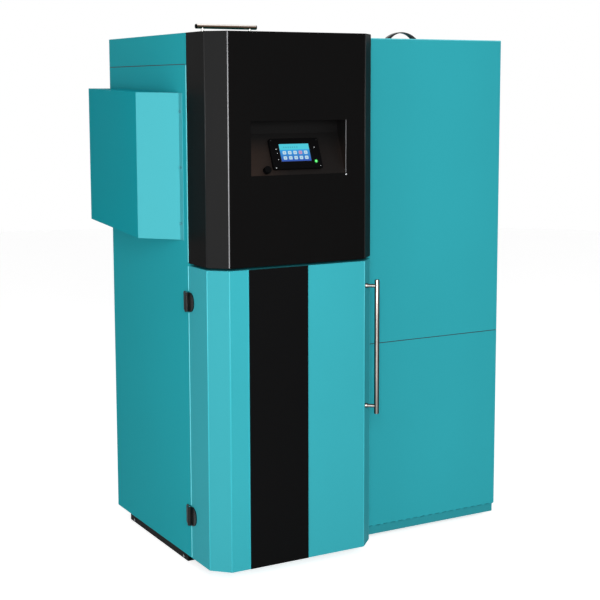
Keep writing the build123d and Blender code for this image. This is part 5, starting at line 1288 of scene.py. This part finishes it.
@dataclass
class UpperCover:
    """Folds of the black cover and the rim and screw of its recess; the folds and the rim are painted lighter as
    highlights.
    """

    span: tuple[float, float] = (880.0, 1498.5)
    side: float = 114.5
    face: float = 160.0
    chamfer: float = 45.5
    fold: float = 2.2
    highlight_fold: float = 1.7
    recess: tuple[float, float] = (112.0, 405.0)
    recess_span: tuple[float, float] = (1121.0, 1266.0)
    rim: float = 0.65
    screw: Fastener = Fastener(2.3, 1.2)

    def build(self) -> None:
        """Make the folds, the recess's rim and its screw."""
        width = CASE.width
        # Painted highlight: the left front fold is painted grey.
        fold = crease((self.chamfer, -self.face), CHAMFER_TO_FRONT, self.span, self.highlight_fold)
        piece("cover_highlight_fold", "upper_cover", Finishes.BLACK_EDGE_HIGHLIGHT, "black_paint", [fold])
        # Painted highlight: the other folds are painted a lightened black.
        folds = [
            crease(
                (width - self.chamfer, -self.face), (-CHAMFER_TO_FRONT[0], CHAMFER_TO_FRONT[1]), self.span, self.fold,
            ),
            crease((0.0, -self.side), SIDE_TO_CHAMFER, self.span, self.fold),
            crease((width, -self.side), (-SIDE_TO_CHAMFER[0], SIDE_TO_CHAMFER[1]), self.span, self.fold),
        ]
        piece("cover_folds", "upper_cover", Finishes.BLACK_FOLD_HIGHLIGHT, "black_paint", folds)
        foot, head = self.recess_span
        # Painted highlight: the recess's right rim is painted grey.
        rim = Loft.slab(
            Place((self.recess[1], -self.face, (foot + head) / 2), Facing.FRONT),
            2 * self.rim, head - foot, self.rim, [(0.2, -1.0), (0, -0.2), (0.2, 0.2), (0.5, 0.4), (0.8, 0.4)],
        )
        piece("recess_rim", "upper_cover", Finishes.BLACK_EDGE_HIGHLIGHT, "black_paint", [rim])
        place = Place((self.recess[1] + 1.0, -self.face, foot - 4.0), Facing.FRONT)
        piece("recess_screw", "upper_cover", Finishes.STEEL_BRIGHT, "zinc", [self.screw.pan_head(place)])


@dataclass
class Console:
    """Controller's face: lit screen, screws, lamps, a collar glowing as the lamp's painted halo, and marks on the
    bezel.
    """

    origin: Point = (0.0, -158.5, 1121.0)
    bezel: tuple[float, float, float, float] = (181.0, 333.0, 14.0, 101.0)
    thickness: float = 9.0
    screen: tuple[float, float, float, float] = (207.0, 301.0, 34.5, 85.5)
    screw: Fastener = Fastener(1.6, 0.8)
    lamp: tuple[float, float, float] = (314.0, 33.7, 2.6)
    marks: tuple[tuple[float, float, float, float], ...] = (
        (198.0, 70.5, 5.0, 1.1), (199.0, 58.5, 1.5, 1.5), (199.0, 41.0, 1.7, 1.7), (316.0, 73.5, 2.1, 2.1),
        (188.0, 17.5, 3.6, 1.5), (325.0, 20.5, 2.2, 1.1),
    )

    def spot(self, x: float, slope: float, out: float) -> Place:
        """Place on the console at x, at a distance up its slope and a height over it."""
        up = np.array(Facing.CONSOLE.value[1])
        normal = np.cross(np.array(Facing.CONSOLE.value[0]), up)
        origin = np.array(self.origin) + np.array([x, 0.0, 0.0]) + slope * up + out * normal
        return Place(tuple(float(value) for value in origin), Facing.CONSOLE)

    def build(self) -> None:
        """Make the screen, the screws, the lamp and the marks."""
        near, far, low, high = self.screen
        glass = Loft.slab(
            self.spot((near + far) / 2, (low + high) / 2, self.thickness),
            far - near - 0.4, high - low - 0.4, 1.2, [(0.3, -1.8), (0, -1.2), (0, -0.2), (0.3, 0.0), (0.8, 0.05)],
        )
        piece("screen_picture", "upper_cover", Finishes.DISPLAY, "screen", [glass], ["screen_glass"])
        left, right, foot, head = self.bezel
        screws = [
            self.screw.pan_head(self.spot(x, slope, self.thickness))
            for x in (left + 6.0, right - 6.0)
            for slope in (foot + 6.0, head - 6.0)
        ]
        # The screws take the lightened black of the painted fold highlights.
        piece("bezel_screws", "upper_cover", Finishes.BLACK_FOLD_HIGHLIGHT, "black_paint", screws)
        x, slope, r = self.lamp
        lens = Loft.turned(
            self.spot(x, slope, self.thickness),
            [(0.0, -0.3), (r, -0.3), (r, 0.6), (0.85 * r, 1.3), (0.5 * r, 1.8), (0.0, 2.0)],
            24,
        )
        piece("power_lamp", "upper_cover", Finishes.GREEN_LAMP, "lamp", [lens], ["status_lamps"])
        # Painted glow: a collar round the lens glows as the lamp's halo.
        collar = Loft.turned(
            self.spot(x, slope, self.thickness),
            [(r + 0.1, -0.2), (r + 2.4, -0.2), (r + 2.2, 0.3), (r + 0.4, 0.5), (r + 0.1, 0.3)],
            24,
        )
        piece("lamp_halo_collar", "upper_cover", Finishes.GREEN_HALO_GLOW, "lamp", [collar])
        marks = [
            Loft.slab(
                self.spot(x, slope, self.thickness),
                width, height, 0.6, [(0, -0.2), (0, 0.3), (0.2, 0.45), (0.4, 0.5)], 4,
            )
            for x, slope, width, height in self.marks
        ]
        piece("bezel_marks", "upper_cover", Finishes.WHITE_MARK, "lamp", marks)


@dataclass
class TopCover:
    """Lift-off cover's bar handle."""

    bar: tuple[float, float] = (162.5, 362.0)
    bar_y: float = 285.0
    bar_z: float = 1532.0
    bar_radius: float = 7.0
    post_radius: float = 5.0
    posts: tuple[float, float] = (185.0, 339.5)

    def build(self) -> None:
        """Make the handle's bar, its end caps and its posts."""
        r = self.bar_radius
        near, far = self.bar
        long = far - near
        place = Place((near, self.bar_y, self.bar_z), Facing.RIGHT)
        bar = Loft.turned(place, [(0.0, 3.0), (r, 3.0), (r, 0.5 * long), (r, long - 3.0), (0.0, long - 3.0)], 48)
        posts = [
            Loft.turned(
                Place((x, self.bar_y, CASE.height), Facing.UP),
                [
                    (0.0, 0.0), (self.post_radius + 2.5, 0.0), (self.post_radius + 2.5, 1.6), (self.post_radius, 2.4),
                    (self.post_radius, self.bar_z - CASE.height - 5.0), (0.0, self.bar_z - CASE.height - 1.0),
                ],
                32,
            )
            for x in self.posts
        ]
        piece("top_handle_bar", "top_cover", Finishes.BAND_ACROSS, "stainless", [bar], ["top_handle"])
        piece("top_handle_posts", "top_cover", Finishes.STEEL_PALE, "stainless", posts)
        dome = [(0.0, 0.0), (0.78 * r, 0.0), (0.95 * r, 0.5), (r, 1.5), (r, 3.0), (0.0, 3.0)]
        caps = [
            Loft.turned(place, dome, 32),
            Loft.turned(
                Place((near, self.bar_y, self.bar_z), Facing.RIGHT),
                [(radius, long - out) for radius, out in dome],
                32,
            ),
        ]
        piece("top_handle_caps", "top_cover", Finishes.BLACK_PLASTIC, "black_plastic", caps)


@dataclass
class Tank:
    """Pellet tank's lid edge, painted light as a highlight, a black strip in the seam between its front sheets for
    the seam's shadow, and tabs in the seam over the plinth.
    """

    edge: float = 1.7
    tab_span: tuple[float, float] = (534.0, 1022.0)
    tab_count: int = 19
    tab_width: float = 11.0
    seam: tuple[float, float] = (47.0, 49.0)
    front_seam: float = 604.0

    def build(self) -> None:
        """Make the lid's edge, the dark seam strip and the tabs."""
        top = CASE.tank_top
        long = CASE.tank_right - CASE.tank_left
        e = self.edge
        # Painted highlight: the lid's front edge is painted a light teal.
        front = Loft.turned(
            Place((CASE.tank_left, CASE.tank_front + e - 0.4, top - e + 0.4), Facing.RIGHT),
            [(0.0, 0.0), (0.7 * e, 0.0), (e, 0.5), (e, long - 0.5), (0.7 * e, long), (0.0, long)],
            20,
        )
        piece("lid_front_edge", "tank_lid", Finishes.TEAL_EDGE_HIGHLIGHT, "teal_paint", [front])
        # Painted shadow: a black rubber strip in the seam between the front sheets darkens it as a shadow would.
        seal = Loft.slab(
            Place(((CASE.tank_left + CASE.tank_right) / 2, CASE.tank_front, self.front_seam), Facing.FRONT),
            long - 3.0, 2.2, 0.4, [(0.2, -1.0), (0, 0.0), (0.1, 0.15), (0.3, 0.2)],
        )
        piece("tank_seam_shadow_strip", "boiler", Finishes.RUBBER, "rubber", [seal])
        low, high = self.seam
        tabs = [
            Loft.slab(
                Place((x, CASE.tank_front + 1.4, (low + high) / 2), Facing.FRONT),
                self.tab_width, high - low - 0.1, 0.4, [(0.1, -1.0), (0, 0.0), (0, 0.7), (0.2, 0.9)], 3,
            )
            for x in np.linspace(*self.tab_span, self.tab_count)
        ]
        piece("plinth_tabs", "boiler", Finishes.TEAL_PAINT, "teal_paint", tabs)


@dataclass
class RearFittings:
    """Fasteners and fittings on the back: panel screws, fan, connection box, water threads, drain valve."""

    panel_screw: Fastener = Fastener(4.2, 2.4)
    panel_rows: tuple[float, ...] = (90.0, 410.0, 730.0, 1050.0, 1380.0)
    fan_at: tuple[float, float] = (256.5, 1312.0)
    fan_back: float = 706.0
    motor_radius: float = 46.0
    flange_screws: int = 6
    flange_ring: float = 62.0
    box: tuple[float, float, float, float] = (22.0, 118.0, 1290.0, 1390.0)
    box_back: float = 600.0
    glands: tuple[float, ...] = (40.0, 70.0, 100.0)
    stub_heights: tuple[float, float] = (260.0, 1180.0)
    thread_radius: float = 16.6
    thread_pitch: float = 2.31
    drain: tuple[float, float] = (400.0, 225.0)

    def build(self) -> None:
        """Make every fitting on the back."""
        self.panel()
        self.fan()
        self.wiring()
        self.water()

    def panel(self) -> None:
        """Two columns of sheet screws on the rear panel."""
        screws = [
            self.panel_screw.pan_head(Place((x, CASE.depth, z), Facing.BACK))
            for x in (9.0, CASE.width - 9.0)
            for z in self.panel_rows
        ]
        piece("rear_panel_screws", "boiler", Finishes.STEEL_BRIGHT, "zinc", screws)

    def fan(self) -> None:
        """Cooling ribs round the motor and screws on its flange."""
        x, z = self.fan_at
        place = Place((x, self.fan_back, z), Facing.BACK)
        heights = np.linspace(5.0, 30.0, 101)
        ridge = np.clip(2.4 * np.sin(2 * np.pi * (heights - 5.0) / 5.0) + 0.6, 0.0, 1.8)
        inner = self.motor_radius - 1.0
        ribs = [(inner, 5.0), *zip(self.motor_radius + 0.2 + ridge, heights), (inner, 30.0)]
        piece("fan_motor_ribs", "boiler", Finishes.MOTOR_PAINT, "motor_grey", [Loft.turned(place, ribs, 64)])
        angles = np.arange(self.flange_screws) * 2 * np.pi / self.flange_screws + 0.3
        screws = [
            self.panel_screw.pan_head(
                Place(
                    (
                        x + self.flange_ring * math.cos(angle),
                        self.fan_back + 4.0,
                        z + self.flange_ring * math.sin(angle),
                    ),
                    Facing.BACK,
                )
            )
            for angle in angles
        ]
        piece("fan_flange_screws", "boiler", Finishes.STEEL_BRIGHT, "zinc", screws)

    def wiring(self) -> None:
        """Lid joint and screws of the connection box, and a nut on each gland."""
        near, far, low, high = self.box
        middle = Place(((near + far) / 2, self.box_back, (low + high) / 2), Facing.BACK)
        outline = rounded(far - near - 14.0, high - low - 14.0, 5.0, 8)
        path = np.column_stack([outline, np.zeros(len(outline))])
        joint = Loft.run(middle, path, circle(0.9, 10), looped=True)
        piece("connection_box_joint", "boiler", Finishes.RUBBER, "rubber", [joint])
        screws = [
            Fastener(3.2, 1.4).pan_head(Place((x, self.box_back, z), Facing.BACK))
            for x in (near + 13.0, far - 13.0)
            for z in (low + 13.0, high - 13.0)
        ]
        piece("connection_box_screws", "boiler", Finishes.STEEL_BRIGHT, "zinc", screws)
        nuts = []
        for x in self.glands:
            place = Place((x, 578.0, low), Facing.DOWN)
            nuts.append(Fastener(9.6, 7.0).hexagon(place))
            cap = [
                (9.2, 9.0), (9.9, 9.4), (10.1, 15.0), (9.0, 18.2), (6.4, 19.4), (4.1, 19.4), (4.1, 17.0), (9.2, 15.0),
            ]
            nuts.append(Loft.turned(place, cap, 28, lambda angle, height: 0.25 * np.cos(12 * angle) * (height < 16)))
        piece("gland_nuts", "boiler", Finishes.GREY_PLASTIC, "black_plastic", nuts)

    def water(self) -> None:
        """Threads on the water stubs, and the barbed nose and stem nut of the drain valve."""

        def thread(angle: np.ndarray, height: np.ndarray) -> np.ndarray:
            """Triangular ridge that climbs one pitch per turn."""
            phase = np.mod(height / self.thread_pitch - angle / (2 * np.pi), 1.0)
            return 0.9 * (1 - np.abs(2 * phase - 1))

        rows = np.arange(6.0, 38.0, self.thread_pitch / 8)
        profile = [(13.8, 6.0), *((self.thread_radius - 0.1, height) for height in rows), (13.8, 38.0)]
        threads = [
            Loft.turned(Place((120.0, 558.0, height), Facing.BACK), profile, 40, thread)
            for height in self.stub_heights
        ]
        piece("water_threads", "boiler", Finishes.BRIGHT_THREAD, "vessel_steel", threads)
        x, z = self.drain
        steps = [(0.0, 0.0), (10.2, 0.0)]
        for index in range(4):
            start = 4.0 + 6.0 * index
            steps += [(10.2, start), (11.6, start + 0.4), (10.3, start + 5.2)]
        steps += [(10.2, 33.0), (8.4, 35.5), (7.0, 35.5), (6.6, 31.0), (0.0, 31.0)]
        barbs = Loft.turned(Place((x, 605.5, z), Facing.BACK), steps, 36)
        nut = Fastener(5.4, 4.0).hexagon(Place((x, 591.0, 248.5), Facing.UP))
        collar = Fastener(13.0, 7.0).hexagon(Place((x, 605.8, z), Facing.BACK))
        piece("drain_valve_barbs", "boiler", Finishes.BRASS, "brass", [barbs, collar])
        piece("drain_stem_nut", "drain_lever", Finishes.STEEL_BRIGHT, "zinc", [nut])


@dataclass
class Furnace:
    """Braided rope seal of the furnace door."""

    steps: int = 720
    columns: int = 20

    def build(self) -> None:
        """Make the rope from the seal node's own box.

        The rope follows a rounded rectangle. Its radius has ridges that wind both ways, as a braid has.
        """
        low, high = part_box("furnace_seal")
        near, front, foot = (1000 * low[axis] for axis in range(3))
        far, back, head = (1000 * high[axis] for axis in range(3))
        width, height, deep = far - near - 10.0, head - foot - 10.0, back - front
        place = Place(
            ((near + far) / 2 - CASE.left, (front + back) / 2 - CASE.front, (foot + head) / 2),
            Facing.BACK,
        )
        outline = rounded(width, height, 6.0, 24)
        ring = np.concatenate([outline, outline[:1]])
        length = np.concatenate([[0.0], np.cumsum(np.linalg.norm(np.diff(ring, axis=0), axis=1))])
        along = np.linspace(0, length[-1], self.steps, endpoint=False)
        path = np.column_stack([
            np.interp(along, length, ring[:, 0]),
            np.interp(along, length, ring[:, 1]),
            np.zeros(self.steps),
        ])
        angle = np.linspace(0, 2 * np.pi, self.columns, endpoint=False)[None, :]
        turn = (2 * np.pi * along / 14.0)[:, None]
        ridge = 0.90 + 0.10 * np.abs(np.sin(2 * angle + turn) * np.sin(2 * angle - turn))
        section = np.stack([4.9 * ridge * np.cos(angle), 0.49 * deep * ridge * np.sin(angle)], axis=2)
        rope = Loft.run(place, path, section, looped=True)
        piece("furnace_rope", "furnace_door", Finishes.ROPE, "rope", [rope], ["furnace_seal"])


def main() -> None:
    """Build the studio and every sub-assembly in order."""
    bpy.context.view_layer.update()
    Studio().build()
    Nodes().dress()
    for assembly in (Casing(), LowerDoor(), UpperCover(), Console(), TopCover(), Tank(), RearFittings(), Furnace()):
        assembly.build()
        LOG.info("finished %s", type(assembly).__name__)


if __name__ == "__main__":
    main()
